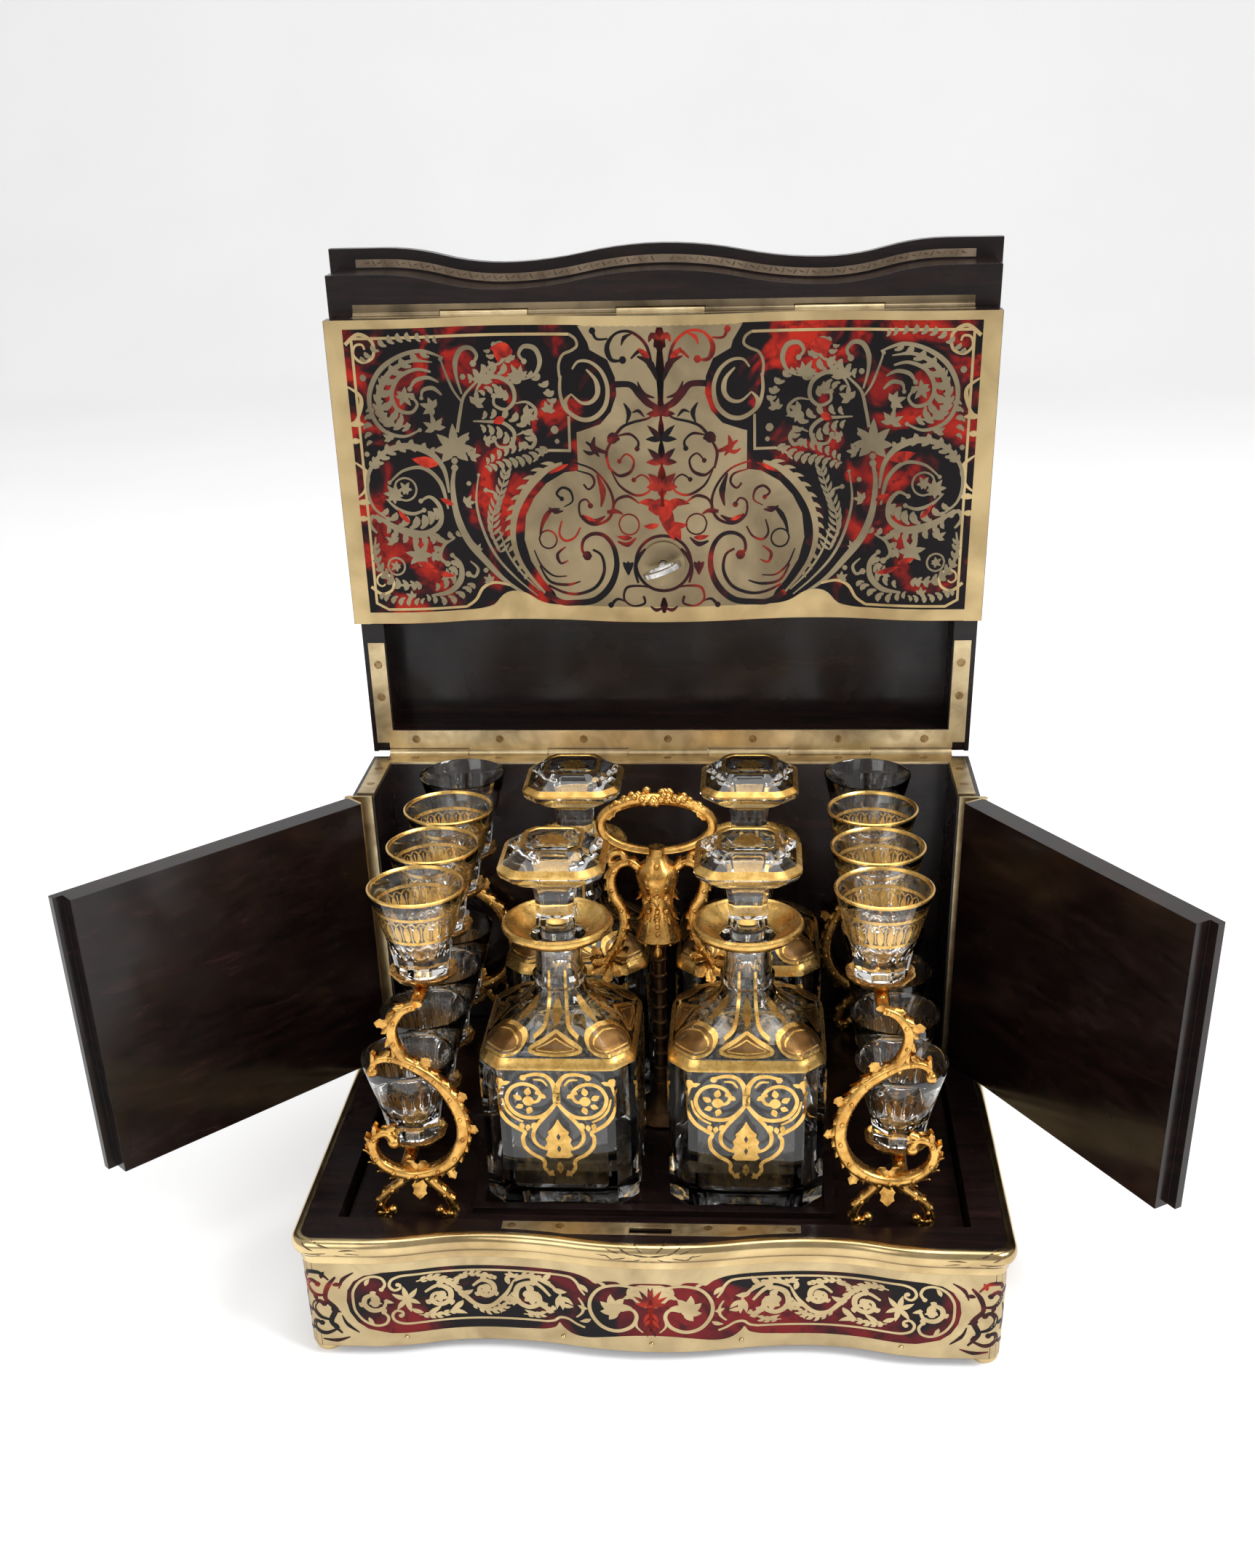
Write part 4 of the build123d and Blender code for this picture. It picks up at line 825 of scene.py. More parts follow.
    flame = Inlay(on_panel(FLAME_LIFT), (1,))
    many(flame.leaf, (
        (-7, 58, 5, 15, 9, 0), (0, 63, -80, 22, 7.5, 10), (0, 63, 90, 10, 5, 0), (3, 52, -50, 12, 5.5, -20),
        (2, 60, 20, 12, 4, -40), (-2, 60, 160, 10, 4, 30), (2, 50, -15, 11, 4, 30), (-2, 50, 200, 8, 3, -30),
    ))
    flame_pair = Inlay(on_panel(FLAME_LIFT))
    many(flame_pair.leaf, (
        (72, 132, 10, 11, 7.5, 0), (79, 136, -90, 9, 5, 0), (15.5, 43.5, -10, 8, 2.6, 30),
        (112, 80, 15, 13, 5.5, 0), (47, 79, -25, 12, 2.2, 0), (34, 51.5, 10, 7, 2, 30),
        (5, 129.5, 30, 7, 3, 20), (78, 101, -20, 6, 4, 0), (118, 29, 20, 9, 3.4, 0), (108, 24, 10, 12, 3, 20),
        (128, 52, 40, 9, 2.6, 20), (106, 60, 30, 7, 2.8, 0),
    ))
    border.finish("front_panel_border", border_brass, "front_panel", MARQUETRY)
    # ground and scrollwork in the darker brass, which is painted shade
    ground.finish("front_panel_ground", shaded_inlay_brass, "front_panel", MARQUETRY)
    scrollwork.finish("front_panel_scrolls", shaded_field_brass, "front_panel", MARQUETRY)
    dark.finish("front_panel_arabesques", dark_shell, "front_panel", MARQUETRY)
    flame.finish("front_panel_red_centre", red_shell, "front_panel", MARQUETRY)
    flame_pair.finish("front_panel_red_leaves", red_shell, "front_panel", MARQUETRY)


def base_marquetry():
    """Sheets of the base: the front, its corner pieces and both sides, z from the table."""
    border = Inlay(on_base(BORDER_LIFT))
    upper = smooth([(0, 47.4), (8, 47), (12.5, 45.4), (16, 47.6), (22, 47.4), (26, 45.6), (30, 48.4),
                    (36, 50.4), (44, 51)], 1.5)
    upper += [(x, 51) for x in range(47, 123, 4)]
    lower = smooth([(0, 16.2), (10, 15.6), (20, 14.2), (31, 12.6), (38, 13.6), (42.5, 16.8), (44.5, 19.4),
                    (46.5, 16.4), (52, 14.4), (60, 13.8)], 1.5)
    lower += [(x, 13.6) for x in range(63, 123, 4)]
    border.ribbon([((x, BAND_TOP), (x, z)) for x, z in upper])
    border.ribbon([((x, z), (x, BAND_FOOT)) for x, z in lower])
    # the corner piece, from the end of the field to the end of the corner
    field_end = ((BAND_FOOT, FIELD_END), (13.6, FIELD_END), (14, 126), (17, 137), (21, 141.8), (27, 145),
                 (33.5, 146), (40, 145), (45.5, 141.6), (49, 136.4), (50.6, 128), (51, FIELD_END),
                 (BAND_TOP, FIELD_END))
    rows = []
    for (z0, x0), (z1, x1) in zip(field_end, field_end[1:]):
        rows += [(z0 + (z1 - z0) * i / 6, x0 + (x1 - x0) * i / 6, CORNER_END) for i in range(6)]
    border.fill([*rows, (BAND_TOP, FIELD_END, CORNER_END)], 18)
    # frame of the long field, hooked at its neck, and the ear at its end
    border.long_line([(42, 48.2), (114, 48.2)], 1.2)
    border.long_line([(50, 19.2), (114, 19.2)], 1.2)
    for flip in (False, True):
        def turned(points, flip=flip):
            return [(x, 67.4 - z) if flip else (x, z) for x, z in points]

        border.line(turned([(113, 48.2), (119, 48), (123.4, 46), (124.6, 42.4), (122.4, 39.8), (119.6, 41),
                            (119.8, 43.4)]), 1.2, 1.4, 1.5, 1.3)
        border.line(turned([(128.2, 41), (126.6, 43.8), (128.2, 47.4), (133, 48.4), (138.6, 45.4),
                            (142.2, 39.6), (142.8, 33.7)]), 1.5, 1.4, 1.3)
        border.dot(*turned([(120.6, 43)])[0], 1.2)
        border.dot(*turned([(128.6, 40.6)])[0], 1.2)
    border.line([(43, 48.2), (38, 47.6), (35, 44.8), (33.4, 41), (31.4, 38)], 1.2, 1.5, 1.6, 0.8)
    border.line([(51, 19.2), (47, 20.2), (44, 22.6), (40, 22.4), (36, 20), (32, 18.4)], 1.2, 1.5, 1.2)
    border.line([(36, 24), (33, 27.4), (32.6, 32), (34.6, 36)], 0.8, 1.6, 0.8)

    leafage = Inlay(on_base(SCROLL_LIFT))
    # long field: leafy scrolls on a running stem
    for x, z, radius, start, turns in (
        (58, 33, 9.8, 170, -1.35), (80, 36.5, 6.2, 20, 1.3), (102, 33.5, 7.4, 30, 1.3),
        (133, 33.6, 6.6, 170, 1.2),
    ):
        leafage.scroll(x, z, radius, start, turns, 2 + radius * 0.06, 5 if radius > 8 else 3)
        leafage.spray(x, z, 200, radius * 0.66, radius * 0.36, 5, 220)
    leafage.line([(112, 44), (104, 45.4), (96, 41), (90, 33), (84, 27), (77, 27), (70, 34), (66, 42)],
                 0.6, 2.2, 2.6, 2.2, 2.4, 0.8)
    leafage.line([(66, 42), (58, 45.6), (49, 42), (43, 36)], 1, 2.8, 2.4, 0.6)
    many(leafage.frond, (
        ([(112, 44), (104, 45), (96, 41), (91, 34)], 4.4, 2.4),
        ([(88, 29), (80, 24), (72, 26), (67, 33)], 4.2, 2.4),
        ([(68, 44), (58, 46), (50, 43)], 3.4, 2.2), ([(112, 24), (104, 22.6), (95, 24)], 3.8, 2.2),
        ([(62, 22.4), (54, 23), (48, 27)], 3.8, 2.2), ([(92, 45.6), (84, 45.8), (76, 44)], 3.4, 2),
    ))
    many(leafage.leaf, (
        (117, 34, 20, 8, 2.8, 20), (117, 34, 80, 8, 2.8, 0), (117, 34, 140, 8, 2.8, -20),
        (117, 34, 200, 7, 2.6, 20), (117, 34, 260, 8, 2.8, 0), (117, 34, 320, 8, 2.8, -20),
        (94, 40, 100, 6, 2.6, 40), (92, 34, 180, 7, 3, -40), (91, 30, -60, 8, 3.2, 40),
        (84, 26, -150, 8, 2.8, -40), (74, 28, 240, 6, 2.6, 40), (72, 30, 150, 7, 2.8, 30),
        (68, 40, 60, 6, 2.8, 50), (64, 44, 20, 6, 2.4, 50), (52, 44, 150, 7, 2.8, -40),
        (47, 39, 200, 7, 3.2, -30), (44, 36, 250, 9, 3.4, 20), (43, 35, 200, 7, 2.8, 30),
        (43, 36, 300, 9, 3, -30), (43, 30, 180, 6, 2.6, 0), (47, 25, 40, 8, 3, -30),
        (54, 22.4, 10, 8, 2.4, 20), (88, 44, 10, 7, 2.4, -30), (108, 24, 160, 8, 2.8, -20),
        (110, 25, 20, 7, 2.6, 20), (97, 24, 180, 8, 2.6, 30), (128, 34, 200, 5, 2.2, 0),
        (136, 43, 100, 5, 2.2, 40), (136, 24, 260, 5, 2.2, -40), (70, 46, 190, 6, 2, 20),
        (76, 44.6, 0, 7, 2.2, 20),
    ))
    # centre: two great volutes under a shell
    leafage.line([(1.5, 44.4), (8, 45), (16, 45.6), (24, 43), (28.8, 36), (28.8, 28), (24, 20.6),
                  (16.5, 18.2), (9.4, 21.4), (6.8, 27.4), (9, 31.6), (13.4, 31.2)],
                 0.8, 1.4, 1.6, 1.8, 2, 2, 2, 1.6)
    leafage.line([(4, 18), (7, 21.6), (6.6, 26)], 0.6, 1.2, 0.8)
    for angle, length in ((150, 8.5), (105, 8.5), (60, 9.5), (15, 8.5), (-30, 7.5), (-80, 7)):
        leafage.leaf(17, 31, angle, length, 4.6, 35)
    leafage.dot(17, 30.5, 2.6)
    many(leafage.leaf, (
        (30, 40, 60, 7, 2.6, -40), (30.4, 30, 0, 5, 2.4, 40), (29, 24, -40, 6, 2.4, 40),
        (21, 44, 60, 5, 2, -60), (13, 38, 160, 8, 2.6, -40), (9, 38, 60, 7, 2.4, 40),
    ))
    leafage.fill([(33, 0, 3), (36, 0, 7), (39, 0, 9.6), (42, 0, 10.6), (44.6, 0, 9.6), (46.4, 0, 5)], 6)

    dark = Inlay(on_base(DARK_LIFT))
    for angle, length in ((90, 11.5), (66, 11), (42, 10), (18, 8)):
        dark.leaf(0, 33.6, angle, length, 2.6, -10)
    many(dark.leaf, (
        (0, 38, 270, 12, 3.4, 0), (0, 30, 225, 7, 2, 30), (0, 26, 320, 7, 2, -30), (0, 22, 300, 7, 1.8, -30),
    ))
    dark.line([(0, 33), (0, 27), (0, 19)], 2.4, 1.6, 2)
    # arabesques of the corner pieces, running round the corners
    for widths, points in (
        ((1, 2.6, 2.8, 2.2, 2.6, 1),
         [(150, 14), (154.6, 21), (152, 28.6), (156, 35), (154.4, 42), (150, 48)]),
        ((1, 2.4, 2.6, 2), [(154, 22), (159.6, 24), (162.6, 29), (160, 33.4), (156.6, 32)]),
        ((1, 2.4, 2.4, 2), [(155.6, 37), (161.4, 37.6), (164.8, 42), (162, 45.6), (158.8, 43.6)]),
        ((1, 2.2, 2.4, 2), [(151.6, 17), (158, 14), (163.4, 16.6), (162.4, 21), (159, 20)]),
        ((0.6, 3, 0.6), [(166, 22), (168.4, 30), (166, 38)]),
        ((0.8, 2.2, 1.8), [(153.4, 46), (158, 50.6), (163.6, 50), (165, 47)]),
        ((0.5, 2.2, 0.5), [(146.4, 11.8), (153, 9.6), (160, 10.4)]),
        ((0.5, 2, 0.5), [(149, 41), (146.6, 46.6), (141, 50.8)]),
        ((0.5, 2, 0.5), [(149, 25), (147, 19.6), (141.6, 14.6)]),
    ):
        dark.line(points, *widths)
    many(dark.leaf, (
        (154, 28, 180, 5), (152, 43, 160, 5), (155, 20, 200, 5), (160, 34, 60, 5), (163, 27, 0, 4.6),
        (165, 44, 30, 4.4), (164, 16, -20, 4.4), (157, 47, 100, 4.6),
    ), 2.4, 30)
    many(dark.dot, (
        (157, 32, 1.6), (159, 43.6, 1.5), (159.4, 20.2, 1.5), (168, 46, 1.1), (168, 15, 1.1),
        (152.2, 28.6, 1.9),
    ))
    border.finish("base_front_border", base_brass, "cabinet", MARQUETRY)
    leafage.finish("base_front_scrolls", base_brass, "cabinet", MARQUETRY)
    dark.finish("base_front_arabesques", dark_shell, "cabinet", MARQUETRY)

    # sides: a framed run of the same scrolls, between brass borders
    for side, word in ((1, "right"), (-1, "left")):
        run = Inlay(on_base_side(side, BORDER_LIFT))
        run.fill([(46.6, 0, 115.9), (55.8, 0, 115.9)], 2)
        run.fill([(6.4, 0, 115.9), (12, 0, 115.9)], 2)
        run.fill([(12, 106, 115.9), (46.6, 106, 115.9)], 2)
        run.long_line([(0, 41.5), (97, 41.5), (101, 37), (101, 22), (97, 17.5), (0, 17.5)], 1.1)
        for i, along in enumerate((12, 34, 56, 78, 93)):
            up = 1 if i % 2 else -1
            run.scroll(along, 29.5 + up, 8.4 if i < 4 else 5, 180 + 20 * up, -1.3 * up, 1.5, 4)
            run.leaf(along + 9, 29.5 - 8 * up, 20 * up, 8, 1.8, 60 * up)
        run.spray(0, 22, 90, 14, 2.2, 5, 120)
        run.finish(f"base_{word}_side_brass", border_brass, "cabinet", MARQUETRY)


# Lid as it stands open, and the doors: from the hinge to the middle of a door's face, and out to the face
LID_TOP_Y = 157.12
LID_MIDDLE_Z = 348.0
LID_BOARD_Y = 147.3
FRIEZE_TOP = 464.4
DOOR_HINGE = (163.0, 58.0, 145.6)
DOOR_MIDDLE = 84.0
DOOR_FACE = -0.88


def outer_stringing():
    """Stringing and cartouches on the outer faces, which the photograph doesn't show, and the lid's strip."""
    lid_top = Inlay(lambda x, z: (-x, LID_TOP_Y, LID_MIDDLE_Z + z))
    lid_top.long_line([(0, 112), (146, 112), (154, 104), (154, -104), (146, -112), (0, -112)], 2)
    lid_top.long_line([(0, 106), (142, 106), (148, 100), (148, -100), (142, -106), (0, -106)], 0.8)
    lid_top.line([(0, 44), (18, 38), (34, 42), (50, 30), (62, 10), (70, 0), (62, -10), (50, -30), (34, -42),
                  (18, -38), (0, -44)], 1.6)
    for up in (1, -1):
        lid_top.scroll(22, 16 * up, 13, 180 - 60 * up, -1.3 * up, 1.8, 4)
        lid_top.scroll(45, 12 * up, 9, 180 + 40 * up, 1.3 * up, 1.5, 3)
        lid_top.spray(0, 6 * up, 90 * up, 26, 3.4, 7, 120)
        lid_top.scroll(138, 94 * up, 8, 200, 1.3 * up, 1.6, 3)
        lid_top.spray(132, 88 * up, 225 * up, 16, 2.6, 5, 100)
    lid_top.leaf(52, 0, 0, 15, 4)
    lid_top.finish("lid_top_inlay", border_brass, "lid", MARQUETRY)

    for side, word, opened in ((1, "right", 31.9), (-1, "left", 43.6)):
        angle = math.radians(opened)
        along = Vector((side * math.sin(angle), -math.cos(angle), 0))
        out = Vector((side * math.cos(angle), math.sin(angle), 0))
        hinge = Vector((side * DOOR_HINGE[0], *DOOR_HINGE[1:]))

        def on_door(u, z, hinge=hinge, along=along, out=out):
            point = hinge + along * (DOOR_MIDDLE + u) + out * DOOR_FACE
            return (point.x, point.y, point.z + z)

        sheet = Inlay(on_door)
        sheet.long_line([(0, 66), (66, 66), (71, 61), (71, -61), (66, -66), (0, -66)], 1.6)
        sheet.long_line([(0, 62), (64, 62), (67, 59), (67, -59), (64, -62), (0, -62)], 0.7)
        for up in (1, -1):
            sheet.scroll(58, 52 * up, 6, 200, 1.3 * up, 1.3, 3)
            sheet.spray(0, 3 * up, 90 * up, 16, 2.8, 5, 110)
            sheet.scroll(14, 8 * up, 7, 180 - 60 * up, -1.2 * up, 1.4, 3)
        sheet.leaf(22, 0, 0, 12, 3.2)
        sheet.finish(f"{word}_door_inlay", border_brass, f"{word}_door", MARQUETRY)

    # engraved strip along the lid's board, just above its frieze
    strip = Inlay(lambda x, z: (x, LID_BOARD_Y - 0.12, lid_front(x) + z), (1,))
    strip.ribbon([((x, 4.6), (x, 0.9)) for x in range(-152, 153, 4)])
    strip.finish("lid_strip", grey_strip, "lid", MOULDING)
    cuts = Inlay(lambda x, z: (x, LID_BOARD_Y - 0.2, lid_front(x) + z))
    for x in range(4, 148, 6):
        cuts.leaf(x, 1.8, 40, 3, 0.5, 40)
        cuts.leaf(x + 3, 3.6, -40, 2.6, 0.4, 40)
    cuts.finish("lid_strip_engraving", engraved, "lid", MOULDING)


def lid_front(x):
    """Height of the top edge of the standing lid's frieze at x."""
    return FRIEZE_TOP - wave(x)


def ring_at(work, x, y, z, steps, reach, start=0.0):
    """Vertices round an upright axis; reach gives the radius at an angle."""
    ring = []
    for k in range(steps):
        a = (k + start) / steps * math.tau
        r = reach(a)
        ring.append(work.verts.new((x + r * math.cos(a), y + r * math.sin(a), z)))
    return ring


def skin(work, rings, ends=True, turned=False):
    """Faces between rings of vertices, or single points, and over both ends, which turned flips."""
    for one, other in zip(rings, rings[1:]):
        count = max(len(one), len(other))
        for k in range(count):
            j = (k + 1) % count
            corners = [one[k % len(one)], one[j % len(one)], other[j % len(other)], other[k % len(other)]]
            work.faces.new(list(dict.fromkeys(corners)))
    for ring, reverse in ((rings[0], not turned), (rings[-1], turned)):
        if ends and len(ring) > 1:
            work.faces.new(ring[::-1] if reverse else ring)


GROOVE_DEPTH = 0.16


def tube(work, points, radii, flat=1.0, across=Vector((0, 1, 0)), sides=12, ribs=0, smooth_step=1.5):
    """A bar swept along the points. flat widens it along across; ribs groove it lengthwise."""
    line = [Vector(p) for p in (smooth(points, smooth_step) if smooth_step else points)]
    rings = []
    for i, point in enumerate(line):
        before, after = around(line, i)
        ahead = (after - before).normalized()
        inward = ahead.cross(across).normalized()
        wide = inward.cross(ahead)
        radius = between(radii, i / (len(line) - 1))
        ring = []
        for k in range(sides):
            a = k / sides * math.tau
            r = radius * (1 - GROOVE_DEPTH * (0.5 + 0.5 * math.cos(ribs * a))) if ribs else radius
            ring.append(work.verts.new(point + inward * math.cos(a) * r + wide * math.sin(a) * r * flat))
        rings.append(ring)
    skin(work, rings)


def lathe(work, profile, x=0.0, y=0.0, segments=32, lobes=0, depth=0.0):
    """Turns a profile of radius, z round an upright axis; lobes scallop it."""
    rings = []
    for radius, z in profile:
        if radius < 0.01:
            rings.append([work.verts.new((x, y, z))])
            continue

        def reach(a, radius=radius):
            return radius * (1 + depth * abs(math.sin(lobes * a / 2)))

        rings.append(ring_at(work, x, y, z, segments, reach))
    skin(work, rings)


def bead(work, x, y, z, radius, stretch=1.0):
    """A ball, or an egg when stretched."""
    angles = [i / 8 * math.pi for i in range(9)]
    profile = [(radius * math.sin(a), z - radius * stretch * math.cos(a)) for a in angles]
    profile[0] = (0, profile[0][1])
    profile[-1] = (0, profile[-1][1])
    lathe(work, profile, x, y, 14)


FOIL_STEPS = 9
FOIL_BEND = 1.35
# across a cast leaf: how far out of its rib, in half widths, and how high, in thicknesses
FOIL_SECTION = ((-1, -0.35), (-0.5, 0.25), (0, 0.75), (0.5, 0.25), (1, -0.35), (0, -0.6))


def foil(work, base, ahead, face, length, width, curl_back=0.5, thick=0.7):
    """A cast leaf: lobed edges, a raised rib, its tip curling along face."""
    base, ahead, face = Vector(base), Vector(ahead).normalized(), Vector(face).normalized()
    across = ahead.cross(face).normalized()
    rows = []
    for i in range(FOIL_STEPS + 1):
        t = i / FOIL_STEPS
        spine = base + ahead * length * math.sin(t * FOIL_BEND) / math.sin(FOIL_BEND)
        spine += face * curl_back * length * t * t * 0.6
        lobe = 0.84 + 0.16 * math.cos(t * math.tau * 3)
        half = max(0.06, width / 2 * math.sin(math.pi * min(1, t * 0.93 + 0.07)) ** 0.75 * lobe)
        rows.append([work.verts.new(spine + across * half * s + face * rise * thick * (1 - 0.5 * t))
                     for s, rise in FOIL_SECTION])
    skin(work, rows)


# Glass stands: the planes of their scrolled ends, and where the glasses stand on them
STAND_PLANES = (-92.0, 98.0)
GLASS_ROWS = (-66.0, -20.0, 26.0, 72.0)
GLASS_TIERS = (("upper", 105.0, 185.0), ("lower", 117.0, 96.0))
BAR_STEP = 1.5


def leafed(work, points, radii, y, side, flat=1.4, pitch=6.5, size=(7.6, 3.6)):
    """A grooved bar in an upright plane, dressed on its front and back with leaves that lie along it."""
    line = smooth([(side * x, y, z) for x, z in points], BAR_STEP)
    tube(work, line, radii, flat, ribs=4, sides=16, smooth_step=0)
    gap = max(2, round(pitch / BAR_STEP))
    length, width = size
    for i in range(2, len(line) - 4, gap):
        point, ahead = Vector(line[i]), (Vector(line[i + 2]) - Vector(line[i - 2])).normalized()
        radius = between(radii, i / (len(line) - 1))
        sideways = ahead.cross(Vector((0, 1, 0)))
        for front in (-1, 1):
            middle = point + Vector((0, front * radius * flat * 0.55, 0))
            for hand in (-1, 1):
                outward = sideways * hand
                foil(work, middle + outward * radius * 0.3, ahead + outward * 0.24,
                     Vector((0, front, 0)) + outward * 0.75, length, width, 0.1, 0.8)
        if (i // gap) % 2 == 0:
            for front in (-1, 1):
                bead(work, point.x, point.y + front * radius * flat * 0.9, point.z, 1.1)


# A petal cup, as radius and height over the glass's foot
CUP_SECTION = ((0, -3.9), (5, -3.9), (9, -3.2), (12.6, -2.4), (14.6, -0.4), (15.4, 1), (14.6, 1.2),
               (13.2, -0.2), (12.2, -0.9), (0, -0.9))


def glass_stand(side, word):
    """Gilt-bronze stand: a pair of scrolled ends, two rails, and petal cups for the glasses."""
    work = bmesh.new()
    for plane in STAND_PLANES:
        leafed(work, [(105, 180.5), (111, 178), (116, 171), (116.5, 163), (113, 154), (107, 149.5)],
               (2.2, 2.9, 2.4), plane, side)
        leafed(work, [(128, 146), (126, 151), (120, 153), (111, 150.5), (98, 141), (89.5, 126), (88, 111),
                      (94, 98), (105, 90.8), (117, 89.5), (127, 94), (131.5, 102), (130, 110), (124, 112),
                      (121, 107)], (1.8, 2.6, 3.3, 3.6, 3.6, 3.2, 2.6, 1.8), plane, side)
        for foot in ([(108, 90), (104, 84), (97.5, 76), (96, 69), (99, 65.8), (102.5, 67.5)],
                     [(114, 90), (120, 84), (128, 77), (131, 70), (129, 65.8), (125.5, 67.5)]):
            leafed(work, foot, (2.6, 2.4, 1.7), plane, side, size=(5.6, 3))
        for x, z, radius in (
            (128, 145.5, 3), (121.5, 106.5, 3), (102.5, 67.8, 2.6), (125.5, 67.8, 2.6), (97, 66, 3.2),
            (131, 66, 3.2), (107, 149.5, 2.6),
        ):
            bead(work, side * x, plane, z, radius)
        front = Vector((0, -1 if plane < 0 else 1, 0))
        for x, z, angle, length, width in (
            (91, 130, 140, 8, 6), (88.5, 116, 185, 8, 6), (98, 95, 235, 8, 6), (104, 147, 110, 8, 6),
            (116, 170, 20, 8, 6), (111, 88, -90, 11, 8), (111, 90, 60, 9, 6), (111, 90, 120, 9, 6),
        ):
            a = math.radians(angle)
            along = Vector((side * math.cos(a), 0, math.sin(a)))
            root = Vector((side * x, plane, z)) + front * 1.5
            foil(work, root, along, front * 0.8 + along * 0.2, length, width, 0.35)
    middle = sum(STAND_PLANES) / 2
    for x, z in ((105, 180.8), (117, 91.8)):
        ends = [(side * x, STAND_PLANES[0], z), (side * x, middle, z), (side * x, STAND_PLANES[1], z)]
        tube(work, ends, (1.6,), 2.1, Vector((1, 0, 0)), 12, smooth_step=0)
        for y in range(int(STAND_PLANES[0]) + 8, int(STAND_PLANES[1]), 8):
            bead(work, side * x, y, z + 1, 1.7)
    for _, x, floor in GLASS_TIERS:
        cup = [(radius, floor + rise) for radius, rise in CUP_SECTION]
        for y in GLASS_ROWS:
            lathe(work, cup, side * x, y, 40, 10, 0.05)
            for k in range(10):
                a = k / 10 * math.tau
                out = Vector((math.cos(a), math.sin(a), 0))
                foil(work, Vector((side * x, y, floor - 3.6)) + out * 8.5, out + Vector((0, 0, 0.62)),
                     Vector((0, 0, -1)) + out * 0.6, 7.4 + 1.6 * (k % 2), 6.4, -0.1, 0.7)
    made = piece(f"{word}_stand", work, bronze, "tray", CAST_ANGLE)
    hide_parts(f"{word}_glass_stand")


HANDLE_Y = 3.0
RING_CENTRE = 228.5


def tray_handle():
    """Carrying handle: a slim column, a leafed skirt, two scrolled arms and an open ring with a crest."""
    work = bmesh.new()
    y = HANDLE_Y
    # the column below the skirt wears near-black bronze instead of gilt: painted shade, as it stands in
    # shadow
    column = bmesh.new()
    lathe(column, [(0, 62.3), (12, 62.3), (13, 63.5), (12, 65), (9, 66.5), (6, 70), (3.8, 76), (3.2, 88),
                   (3, 120), (3, 158), (4, 166), (0, 166)], 0, y, 40, 8, 0.05)
    for z in range(84, 160, 9):
        bead(column, 0, y, z, 3.9, 0.5)
    piece("handle_column", column, shadowed_bronze, "tray", CAST_ANGLE)
    lathe(work, [(0, 164.5), (4, 164.5), (9.5, 167), (11.2, 169.5), (9.8, 174), (8.2, 180), (7.4, 187),
                 (8, 193), (9.6, 199), (10.4, 203), (9, 207), (5.5, 210), (4.5, 213.5), (4, 217), (0, 217)],
          0, y, 40, 8, 0.05)
    for front in (-1, 1):
        for z in range(170, 212, 4):
            bead(work, 0, y + front * (9.4 - 0.03 * abs(z - 168)), z, 1.35)
        bead(work, 0, y + front * 8.6, 163.5, 1.9, 2.2)
        for side in (-1, 1):
            for z in (186, 193, 199, 205):
                bead(work, side * 4.2, y + front * 7.8, z, 1.5)
    for z, radius, count, length in ((208, 5.5, 8, 10), (199, 8.4, 10, 9), (190, 7.2, 10, 11),
                                     (178, 7.4, 10, 11)):
        for k in range(count):
            a = (k + 0.5) / count * math.tau
            out = Vector((math.cos(a), math.sin(a), 0))
            root = Vector((0, y, z)) + out * radius * 0.8
            foil(work, root, Vector((0, 0, -1)) + out * 0.3, out, length, 5, 0.3, 0.9)
    for side in (-1, 1):
        leafed(work, [(4, 200), (9, 206), (14, 209.5), (20, 207), (23, 200), (22, 192), (18, 184), (17, 176),
                      (19.5, 166), (24, 158), (28, 152), (31, 154)],
               (2, 2.8, 3.2, 2.6, 1.8), y, side, 1.25, 6, (6, 3.2))
        hook = ((14, 209), (17.5, 214), (22, 213), (23.5, 209.5), (21, 207.5))
        tube(work, [(side * x, y, z) for x, z in hook], (1.8, 1.8, 1.4), 1.2, sides=12)
        for x, z, radius in ((31, 155, 3), (20.8, 208.2, 2.2), (26.5, 153, 2.4), (17.5, 177, 2)):
            bead(work, side * x, y, z, radius)
        # leafy clusters where the arms end
        for x, z, angle, length in (
            (26, 154, -30, 9), (26, 154, 10, 8), (25, 153, -80, 9), (24, 154, -130, 8), (30, 154, 60, 7),
            (22, 158, 170, 7),
        ):
            a = math.radians(angle)
            for front in (-1, 1):
                foil(work, (side * x, y + 1.5 * front, z), (side * math.cos(a), 0.4 * front, math.sin(a)),
                     (0.2 * side * math.cos(a), 0.9 * front, 0.3), length, 6.4, 0.35, 1.1)
    # ring, thicker to its crest
    ring = []
    for k in range(49):
        a = math.radians(-90 + k * 360 / 48)
        ring.append((27 * math.cos(a), y, RING_CENTRE + 13.6 * math.sin(a)))
    tube(work, ring, (2.1, 2.6, 3, 2.6, 2.1), 1.2, ribs=5, sides=16)
    for k in range(-8, 9):
        a = math.radians(90 + k * 7)
        for _ in range(5):
            offset = Vector((random.uniform(-1.4, 1.4), random.uniform(-3.2, 3.2), random.uniform(-1.4, 2.6)))
            crest = Vector((27.5 * math.cos(a), y, RING_CENTRE + 14.2 * math.sin(a)))
            bead(work, *(crest + offset * (1.2 - abs(k) * 0.08)), 2 - abs(k) * 0.1)
    for k in (-76, -64, -52, -40, 40, 52, 64, 76):
        a = math.radians(90 + k)
        lead = 1 if k < 0 else -1
        for front in (-1, 1):
            foil(work, (27 * math.cos(a), y + 1.8 * front, RING_CENTRE + 13.8 * math.sin(a)),
                 (-lead * 0.8, 0, 0.5), (0, 0.8 * front, 0.5), 8, 4.6, 0.3, 1)
    made = piece("carrying_handle", work, bronze, "tray", CAST_ANGLE)
    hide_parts("tray_handle")


# How much of a decanter's square section its cut corners leave
DECANTER_CUT = 0.86


